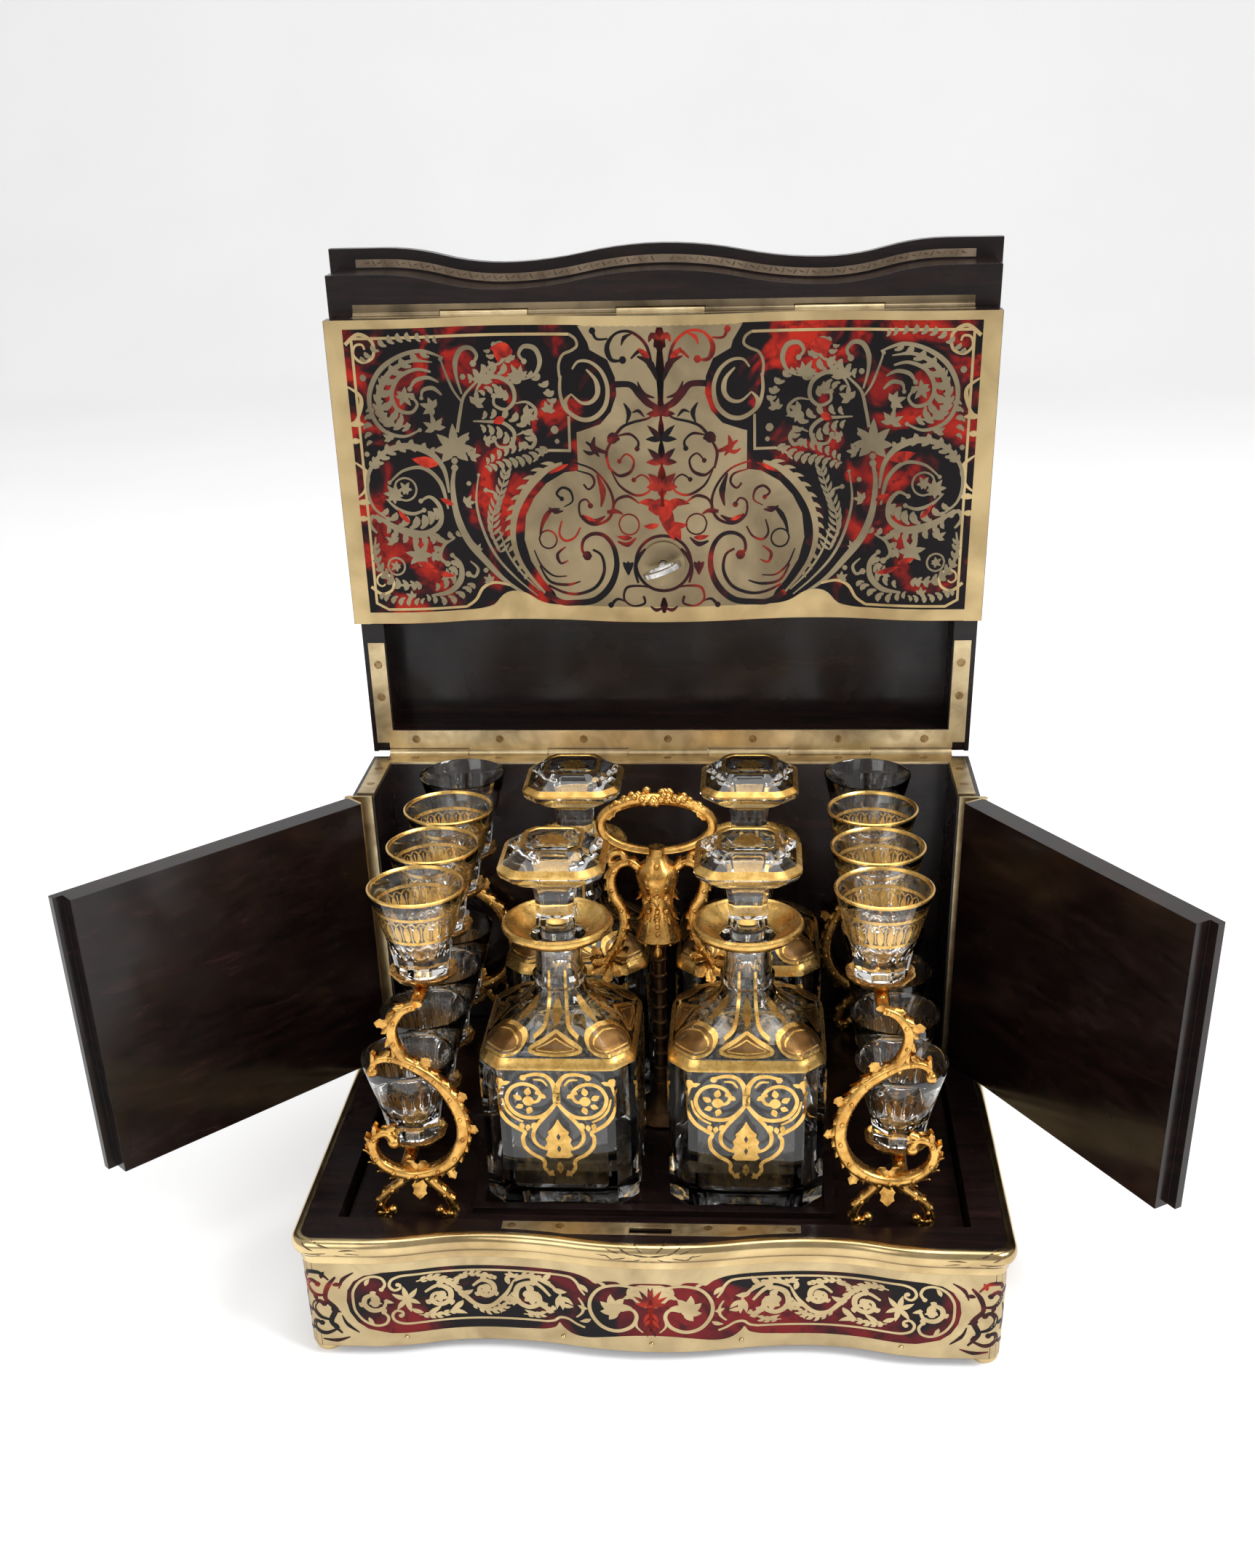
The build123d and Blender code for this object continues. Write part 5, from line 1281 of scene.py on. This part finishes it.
def section(half, roundness, angle, cut=DECANTER_CUT):
    """Radius at an angle of a square section with cut corners, rounded off towards a circle."""
    a = math.fabs(math.remainder(angle, math.pi / 2))
    square = half / math.cos(a)
    corner = half * cut * math.sqrt(2) / math.cos(math.pi / 4 - a)
    return min(square, corner) * (1 - roundness) + half * roundness


DECANTER_SEAT = 62.5
DECANTER_ROWS = (("front", -44.5), ("back", 50.5))
DECANTER_SIDES = (("left", -44.5), ("right", 44.5))
# Height over the seat, half width and roundness: up the outside to the lip, then down the inside
DECANTER_OUTSIDE = (
    (0, 34.6, 0), (1.2, 36.6, 0), (3, 37.4, 0), (40, 37.4, 0), (77.5, 37.4, 0), (80.2, 36.8, 0),
    (82.5, 35.4, 0), (85.5, 34, 0.02), (88, 31.6, 0.06), (90.5, 28, 0.14), (93.5, 23.6, 0.28),
    (96.5, 19, 0.5), (99.5, 15.4, 0.75), (103, 13, 1), (106.5, 11.8, 1), (108.5, 12.9, 1), (111, 12.9, 1),
    (113, 11.4, 1), (120, 11, 1), (126, 11.2, 1), (128.6, 13, 1), (130.4, 17, 1), (132.6, 21.8, 1),
    (135, 25, 1), (137, 25.6, 1), (138, 24.4, 1), (136.6, 22.2, 1), (133.4, 18, 1), (131.4, 13.6, 1),
    (131.2, 8.2, 1),
)
DECANTER_INSIDE = (
    (118, 8.1, 1), (104, 8.6, 1), (98, 11, 0.9), (92, 20, 0.5), (87, 28, 0.2), (82, 31, 0.1),
    (40, 31.8, 0.1), (12, 31.6, 0.1), (9, 29, 0.1), (8, 20, 0.3),
)
ROUND_STEPS = 64


def rings_mesh(rows, cut=DECANTER_CUT, close=True):
    """A skin over rows of z, half width, roundness, closed at its ends or left open."""
    work = bmesh.new()
    rings = []
    for z, half, roundness in rows:
        def reach(a, half=half, roundness=roundness):
            return section(half, roundness, a, cut)

        rings.append(ring_at(work, 0.0, 0.0, z, ROUND_STEPS, reach, 0.5))
    skin(work, rings, close)
    return work


def profile_at(z):
    """Half width and roundness of a decanter's outside at a height."""
    for (z0, h0, r0), (z1, h1, r1) in zip(DECANTER_OUTSIDE, DECANTER_OUTSIDE[1:]):
        if z0 <= z <= z1:
            t = (z - z0) / (z1 - z0)
            return h0 + (h1 - h0) * t, r0 + (r1 - r0) * t
    return DECANTER_OUTSIDE[-1][1], 1.0


def on_decanter(turn, lift):
    """A place on the side that faces the turn, in degrees from the front: s across it, z up from the seat."""
    def place(s, z):
        half, roundness = profile_at(z)
        reach = section(half, roundness, math.radians(turn)) + lift
        a = math.atan2(s, reach)
        r = section(half, roundness, math.radians(turn) + a) + lift
        angle = math.radians(turn) - math.pi / 2 + a
        return (r * math.cos(angle), r * math.sin(angle), z)

    return place


def cartouche(face):
    """Gilt drawing on one face of the body."""
    face.line([(26.2, 70.5), (28, 63.3), (27.2, 56), (23.5, 49.7), (18.4, 45.8), (15.8, 44), (17, 41.2),
               (16.4, 36.1), (12.8, 31.8), (8.6, 29.2), (7.2, 27), (7.4, 24), (5.4, 20.9), (2.8, 19.8)],
              1.4, 2, 2, 1.9, 1.6)
    face.line([(25.7, 63), (24.2, 57), (20.8, 52.6), (16.4, 50)], 0.8, 1.4, 1)
    # the great curl from the foot of the stem
    face.line([(0.6, 60.2), (5.4, 54.6), (10.5, 52.4), (17, 53), (21.9, 57.1), (23.6, 63.3), (20.8, 68.9),
               (15.6, 71), (10.4, 69.4), (7.6, 65.4), (9, 61.6), (12.4, 60.8)], 1.8, 2, 2, 1.9, 1.9, 1.8, 1.6)
    face.dot(13.4, 61.6, 2.7)
    many(face.leaf, (
        (13.6, 64.6, 90, 4.6, 3.4), (16.4, 62.6, 20, 4.6, 3.2), (12.6, 58.4, -80, 4.4, 3.2),
        (16, 59.4, -30, 4, 3), (10, 65.6, 150, 3.4, 2.6), (5, 63.4, 30, 4.2, 2.6),
    ), 20)
    # crossed stems and their upper curls
    face.line([(0, 60), (0, 66), (1.4, 71.4), (4.6, 75.4), (9.4, 76.3), (14.4, 75.2)],
              3.4, 3.4, 2.4, 2, 1.9, 1.6)
    face.dot(15.2, 74.4, 1.6)
    face.line([(4, 70), (6.4, 73), (10.4, 73.4)], 0.8, 1.3, 0.8)
    # finials on the outline
    face.dot(26.6, 71.8, 2.4)
    face.leaf(25.4, 70.6, 150, 4.4, 2.4, 20)
    face.leaf(27.4, 66, 20, 3.4, 2.2, 40)
    for x, z, angle in ((10.6, 49.6, -60), (14, 48.6, -80), (17.4, 49.4, -100)):
        face.leaf(x, z, angle, 4, 2.6)
    # pointed ring round the leaf
    face.line([(0.4, 60.2), (3.6, 55.6), (8.8, 49.6), (11.8, 44.2), (11.6, 39.4), (8.9, 36), (5.8, 34.6)],
              1.4, 1.9, 1.9, 1.5)
    face.leaf(0, 27.4, -90, 7, 3.4)
    face.leaf(3.4, 22.6, -60, 4.4, 2.2)


def leaf_plate(face):
    """The toothed leaf in the middle of a face, with two slits left open."""
    teeth = ((29.6, 4.6), (31, 6.6), (33.4, 5.4), (35.6, 6.9), (38, 5.5), (40.2, 6.3), (42.6, 4.6),
             (44.4, 5.1), (46.4, 3), (48.4, 1.6), (51.4, 0.2))
    rows = rows_between(teeth, 0.6)
    slits = ((33, 36.6), (39.6, 43.4))
    for i, (z, left, right) in enumerate(rows):
        for low, high in slits:
            if low < z < high:
                left = 0.9 * math.sin((z - low) / (high - low) * math.pi)
        rows[i] = (z, left, max(right, left + 0.1))
    face.fill(rows, 5)


def shoulder(face, corner):
    """Gilt straps, a leaf and the outline of a cell on the shoulder, for a face or for a corner."""
    if corner:
        face.line([(0, 93.4), (6, 92.6), (11.2, 90), (13.2, 87.2), (10.8, 85), (5, 84.3), (0, 84.2)],
                  1.1, 1.4, 1.4, 1.1)
        face.line([(0, 91.7), (5, 91), (8.8, 89.3), (10.2, 87.6), (8.6, 86.4), (4, 86), (0, 85.9)], 0.45)
    else:
        face.line([(0, 92.6), (5, 90.2), (12.2, 87), (8, 85.3), (0, 84.6)], 1.1, 1.5, 1.3, 1.1)
        face.line([(0, 90.4), (4, 88.8), (9, 87.1), (6, 86.4), (0, 86)], 0.45)
        face.line([(10.6, 90.6), (6.4, 93.2), (4.9, 96.5), (4.2, 103), (4, 117)], 1.5, 1.9, 1.3)
    face.leaf(0, 94, 90, 10.5, 4.6)


def cell(face, corner):
    """Dull gilding inside a cell."""
    if corner:
        face.fill([(84.5, 0, 8.4), (86.2, 0, 12), (88, 0, 12.4), (90.4, 0, 9.8), (92.6, 0, 5.4)], 5)
    else:
        face.fill([(84.8, 0, 4.4), (85.8, 0, 9.2), (87, 0, 11.2), (88.8, 0, 7.4), (91.8, 0, 1)], 5)


def decanter_meshes():
    glass = rings_mesh([*DECANTER_OUTSIDE, *DECANTER_INSIDE])
    gilding, cells = [], []
    for turn in range(0, 360, 45):
        corner = turn % 90 != 0
        face = Inlay(on_decanter(turn, 0.14))
        shoulder(face, corner)
        dull = Inlay(on_decanter(turn, 0.1))
        cell(dull, corner)
        cells.append(dull.work)
        if not corner:
            cartouche(face)
            leaf_plate(face)
        gilding.append(face.work)
    band = rings_mesh([(78.2, 37.3, 0), (80.2, 36.95, 0), (82, 35.8, 0), (83.4, 35.1, 0.01),
                       (83.3, 34.9, 0.01), (81.9, 35.6, 0), (80.1, 36.75, 0), (78.1, 37.1, 0)], close=False)
    lip_skin = ((128.5, 13.4), (130.2, 17.3), (132.3, 22.1), (133.8, 24.4), (135.2, 25.8), (136.6, 26.3),
                (138, 25.8), (138.7, 24.6), (138.3, 23.3), (136.9, 21.9), (135.2, 19.9), (133.7, 17.8),
                (132.4, 15.4), (131.7, 13.2))
    lip = rings_mesh([(z, half, 1) for z, half in lip_skin], close=False)
    return glass, gilding + [band, lip], cells


# Stoppers: height over the lip's top, half width and roundness
STOPPER_SEAT = 200.75
STOPPER_ROWS = (
    (-17, 6.6, 1), (-15, 7.4, 1), (-3, 7.7, 1), (-0.3, 7.7, 1), (0, 8.2, 0.6), (1, 9.4, 0), (6, 9, 0),
    (14, 9.2, 0), (20, 10.2, 0), (22.6, 13.6, 0), (25, 18.4, 0), (28.6, 23.2, 0), (31, 24.4, 0),
    (32.6, 24.3, 0), (35.2, 21, 0), (35.4, 20.6, 0), (38, 17.2, 0), (38.2, 16.9, 0), (40.8, 14, 0),
    (41, 13.4, 0), (40.6, 12.4, 0), (40.3, 6, 0),
)
STOPPER_CUT = 0.84


def stopper_meshes():
    glass = rings_mesh(STOPPER_ROWS, STOPPER_CUT)
    bands = []
    for low, wide, high, narrow in ((31.6, 24.45, 32.6, 24.4), (32.6, 24.4, 34.6, 21.9)):
        rows = [(low, wide, 0), (high, narrow, 0), (high - 0.1, narrow - 0.2, 0), (low - 0.1, wide - 0.2, 0)]
        bands.append(rings_mesh(rows, STOPPER_CUT, close=False))
    table = rings_mesh([(41.1, 14, 0), (41.15, 12.6, 0), (40.7, 12, 0), (40.5, 12.1, 0), (40.95, 12.8, 0),
                        (40.9, 14, 0)], STOPPER_CUT, close=False)
    star = bmesh.new()
    lathe(star, [(0, 40.42), (4.6, 40.42), (5.2, 40.6), (0, 40.75)], 0, 0, 24, 8, 0.35)
    return glass, [*bands, table, star]


def join_works(works):
    """Several meshes in one."""
    whole = bmesh.new()
    for work in works:
        mesh = bpy.data.meshes.new("part")
        work.to_mesh(mesh)
        work.free()
        whole.from_mesh(mesh)
        bpy.data.meshes.remove(mesh)
    return whole


def shared_piece(meshes, layer, work, look, angle, title, body, finish, at):
    """A piece whose mesh is made once for its layer and worn by every copy."""
    if layer in meshes:
        return place_mesh(title, meshes[layer], body, at)
    made = piece(title, work, look, body, angle, at)
    meshes[layer] = made.data
    return made


def make_decanters():
    """Four decanters and their stoppers, with one mesh for each layer of crystal and gilding."""
    glass, gilding, cells = decanter_meshes()
    stopper, stopper_gilding = stopper_meshes()
    models = (
        ("decanter", DECANTER_SEAT, ((glass, decanter_glass, "crystal"),
                                     (join_works(gilding), gold_leaf, "gilding"),
                                     (join_works(cells), amber_and_shaded_gilt, "cells"))),
        ("stopper", STOPPER_SEAT, ((stopper, decanter_glass, "crystal"),
                                   (join_works(stopper_gilding), gold_leaf, "gilding"))),
    )
    for kind, height, layers in models:
        meshes = {}
        for row, y in DECANTER_ROWS:
            for word, x in DECANTER_SIDES:
                name = f"{kind}_{row}_{word}"
                for work, look, layer in layers:
                    angle = CRYSTAL_ANGLE if layer == "crystal" else GILDING_ANGLE
                    made = shared_piece(meshes, layer, work, look, angle, f"{name}_{layer}", name,
                                        "decanter_crystal", (x, y, height))
                    if layer == "crystal":
                        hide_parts(name)


# Glasses: radius and height from the foot
FLUTES = 8
FLUTED_ROWS = range(3, 9)
GLASS_SECTION = (
    (0, 0.6), (7, 0.6), (8, 0), (11, 0), (12, 0.8), (12.6, 5), (13.4, 10), (14.3, 15), (15.3, 18.6), (16, 20),
    (18.2, 27), (20.2, 35), (22, 42.2), (22.1, 43), (21.4, 43.2), (20.8, 42.4), (18.9, 35), (16.8, 27),
    (14.8, 20), (13, 14), (11, 10.4), (7, 9.2), (0, 9),
)
# Gilding of the rim, as height and radius
GILT_RIM = (
    (42, 22.15), (43, 22.35), (43.45, 21.5), (42.6, 20.7), (41.9, 20.55), (41.9, 20.75), (42.9, 21.4),
    (42.5, 22), (41.9, 21.95),
)
ARCADES = 26


def on_wall(a, z):
    """A place on the glass's wall, by its angle and height."""
    radius = 16.0 + (z - 20.0) * (22.0 - 16.0) / 22.2 + 0.14
    return (radius * math.cos(a), radius * math.sin(a), z)


def glass_meshes():
    """The clear glass, its gilding, and the arcade alone, which the lower tier wears as painted shade."""
    work = bmesh.new()
    rings = []
    for i, (radius, z) in enumerate(GLASS_SECTION):
        if radius == 0:
            rings.append([work.verts.new((0, 0, z))])
            continue

        def reach(a, radius=radius, fluted=i in FLUTED_ROWS):
            away = math.fabs(math.remainder(a, math.tau / FLUTES))
            return radius * math.cos(math.pi / FLUTES) / math.cos(away) * 1.04 if fluted else radius

        rings.append(ring_at(work, 0, 0, z, 64, reach))
    skin(work, rings)

    arcade = Inlay(on_wall, (1,))
    step = math.tau / ARCADES
    for k in range(ARCADES):
        a = k / ARCADES * math.tau
        arcade.line([(a, 22.4), (a, 24.6), (a, 28.0), (a, 30.8)], 0.07, 0.15, 0.16, 0.05, straight=True)
        arch = [(a + step * t / 8, 31.0 + 1.9 * math.sin(t / 8 * math.pi)) for t in range(9)]
        arcade.line(arch, 0.05, straight=True)
        arcade.line([(a + step * 0.5, 23.0), (a + step * 0.5, 31.2)], 0.035, straight=True)
    rim, upper, lower = (rings_mesh([(z, radius, 1.0) for z, radius in rows], close=False) for rows in (
        GILT_RIM,
        ((33.6, 19.82), (35.2, 20.25), (35.1, 20.1), (33.7, 19.7)),
        ((20.6, 16.3), (22.2, 16.75), (22.1, 16.6), (20.7, 16.2)),
    ))
    plain = arcade.work.copy()
    return work, join_works([rim, arcade.work, upper, lower]), plain


def make_glasses():
    """Sixteen glasses; the two at the back of the upper tier have no gilding in the photograph."""
    clear, gilding, plain = glass_meshes()
    models = {"clear": (clear, tumbler_glass, TUMBLER_ANGLE), "gilding": (gilding, gold_leaf, GILDING_ANGLE),
              "plain": (plain, amber_and_shaded_gilt, GILDING_ANGLE)}
    meshes = {}
    for side, word in ((-1, "left"), (1, "right")):
        for level, x, floor in GLASS_TIERS:
            for number, y in enumerate(GLASS_ROWS, 1):
                name = f"glass_{word}_{level}_{number}"
                # the lower tier's gilding is painted shade: its arcade alone, in the darker gold
                layers = ["clear", "gilding" if level == "upper" else "plain"]
                if level == "upper" and number == len(GLASS_ROWS):
                    layers = ["clear"]
                for layer in layers:
                    made = shared_piece(meshes, layer, *models[layer], f"{name}_{layer}", name,
                                        "glass_crystal", (side * x, y, floor))
                    if layer == "clear":
                        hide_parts(name)


# Brass roll, as how far it stands out of the base and the height
ROLL_SECTION = (
    (-1, 56.1), (0.4, 56.1), (0.7, 57.6), (0.9, 59.6), (1.4, 60.6), (1.1, 61.1), (2.2, 61.5), (3.3, 62.8),
    (3.9, 64.6), (3.95, 66.4), (3.5, 68), (2.6, 69.2), (1.3, 69.9), (0, 70), (-1, 70),
)


def roll_out(z):
    """How far the roll stands out at a height."""
    for (o0, z0), (o1, z1) in zip(ROLL_SECTION, ROLL_SECTION[1:]):
        if z0 <= z <= z1 and z1 > z0:
            return o0 + (o1 - o0) * (z - z0) / (z1 - z0)
    return 0.0


def base_roll():
    """Brass roll with a fillet and a flat under it, round the front and both sides."""
    work = bmesh.new()
    corner_y = FRONT_Y + BASE_CORNER
    steps = 10
    ends = []
    for side in (-1, 1):
        bend = []
        for i in range(steps + 1):
            turn = -math.pi / 2 + side * (math.pi / 2) * i / steps
            x = side * CORNER_START + BASE_CORNER * math.cos(turn)
            bend.append((x, corner_y + BASE_CORNER * math.sin(turn), turn))
        facing = 0 if side > 0 else math.pi
        depth = BACK_Y - corner_y
        ends.append(bend + [(side * HALF_BASE, corner_y + depth * i / 8, facing) for i in range(1, 9)])
    middle = []
    for x in range(-157, 158, 2):
        slope = wave(x + 0.5) - wave(x - 0.5)
        middle.append((x, FRONT_Y + wave(x), math.atan(slope) - math.pi / 2))
    rings = []
    for x, y, turn in ends[0][::-1] + middle + ends[1]:
        rings.append([work.verts.new((x + out * math.cos(turn), y + out * math.sin(turn), z))
                      for out, z in ROLL_SECTION])
    skin(work, rings, turned=True)
    made = piece("brass_roll", work, roll_brass, "cabinet", 40)
    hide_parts("base_roll")

    cuts = Inlay(lambda x, z: on_base(roll_out(z) + 0.06)(x, z))
    many(cuts.leaf, (
        (0, 66, 0, 9, 1), (8, 66.5, 20, 8, 0.9), (3, 67.6, 30, 7, 0.8), (4, 64.2, -30, 7, 0.8),
        (11, 65, -20, 8, 0.8), (14, 67.2, 10, 7, 0.7), (1, 63, -50, 3, 0.7), (19, 65.6, 0, 6, 0.6),
        (7, 62.8, -10, 6, 0.6), (17, 63.4, 30, 5, 0.6), (150, 67.6, 10, 11, 0.8), (146, 66, 170, 9, 0.7),
        (152, 64.6, -10, 10, 0.8), (148, 63, 190, 8, 0.7), (158, 66, 30, 6, 0.7), (155, 63, -20, 7, 0.6),
        (143, 64.6, 180, 7, 0.5),
    ), 15)
    cuts.finish("roll_engraving", engraved, "cabinet", MOULDING, 0.05)


def base_pins():
    """Pins in the brass border of the base."""
    work = bmesh.new()
    for x in (-119, -43, 0, 43, 119):
        bead(work, x, FRONT_Y + wave(x) - 0.2, 11.0, 1.3)
    piece("base_pins", work, roll_brass, "cabinet", 50.0)


BACKDROP_LIFT = 0.22


def backdrop():
    """A plain pale floor that turns up into a wall far behind the object."""
    work = bmesh.new()
    width, near, far, bend, top = 6000.0, -2600.0, 2600.0, 1200.0, 4200.0
    line = [(near, 0.0), (far, 0.0)]
    for i in range(1, 13):
        a = i / 12 * math.pi / 2
        line.append((far + bend * math.sin(a), bend * (1 - math.cos(a))))
    line.append((far + bend, top))
    edges = [[work.verts.new((x, y, z)) for x in (-width, width)] for y, z in line]
    for one, other in zip(edges, edges[1:]):
        work.faces.new((one[0], one[1], other[1], other[0]))
    look = Look("backdrop", Roughness=0.9, Specular_IOR_Level=0.1, Emission_Color=(1.0, 1.0, 1.0, 1.0))
    cloud = look.noise(3.0, 2.0)
    look.colour(look.ramp(cloud, ((0.3, (0.90, 0.90, 0.90)), (0.7, (0.93, 0.93, 0.93)))))
    # the floor is lifted towards white where it is seen, directly or in metal and glass; its shadow stays
    path = look.node("ShaderNodeLightPath")
    seen = path.outputs["Is Camera Ray"]
    for ray in ("Is Glossy Ray", "Is Transmission Ray"):
        either = look.node("ShaderNodeMath", operation="MAXIMUM")
        look.join(seen, either.inputs[0])
        look.join(path.outputs[ray], either.inputs[1])
        seen = either.outputs["Value"]
    look.join(look.spread(seen, 0.0, BACKDROP_LIFT, 0.0, 1.0), look.shader.inputs["Emission Strength"])
    made = bpy.data.objects.new("backdrop", mesh_from("backdrop", work, look.material))
    bpy.context.scene.collection.objects.link(made)


def lamp(name, place, aim, size, power):
    """A soft rectangular lamp; place and size are in metres."""
    data = bpy.data.lights.new(name, "AREA")
    data.shape = "RECTANGLE"
    data.size, data.size_y = size
    data.energy = power
    made = bpy.data.objects.new(name, data)
    made.location = place
    made.rotation_euler = (Vector(aim) - Vector(place)).to_track_quat("-Z", "Y").to_euler()
    bpy.context.scene.collection.objects.link(made)


def lights():
    world = bpy.data.worlds.new("studio")
    bpy.context.scene.world = world
    world.use_nodes = True
    sky = world.node_tree.nodes["Background"]
    sky.inputs["Color"].default_value = (1.0, 1.0, 1.0, 1.0)
    sky.inputs["Strength"].default_value = 0.5
    middle = (0.0, 0.0, 0.2)
    lamp("key_softbox", (1.5, -0.7, 1.7), middle, (0.9, 0.9), 40.0)
    lamp("fill_softbox", (-1.1, -1.7, 1.5), middle, (1.4, 1.4), 13.0)
    lamp("top_softbox", (0.1, 0.3, 2.2), middle, (1.6, 1.2), 20.0)


place_camera()
front_panel_marquetry()
base_marquetry()
outer_stringing()
glass_stand(-1, "left")
glass_stand(1, "right")
tray_handle()
make_decanters()
make_glasses()
base_roll()
base_pins()
backdrop()
lights()
bpy.context.scene.view_settings.view_transform = "Standard"
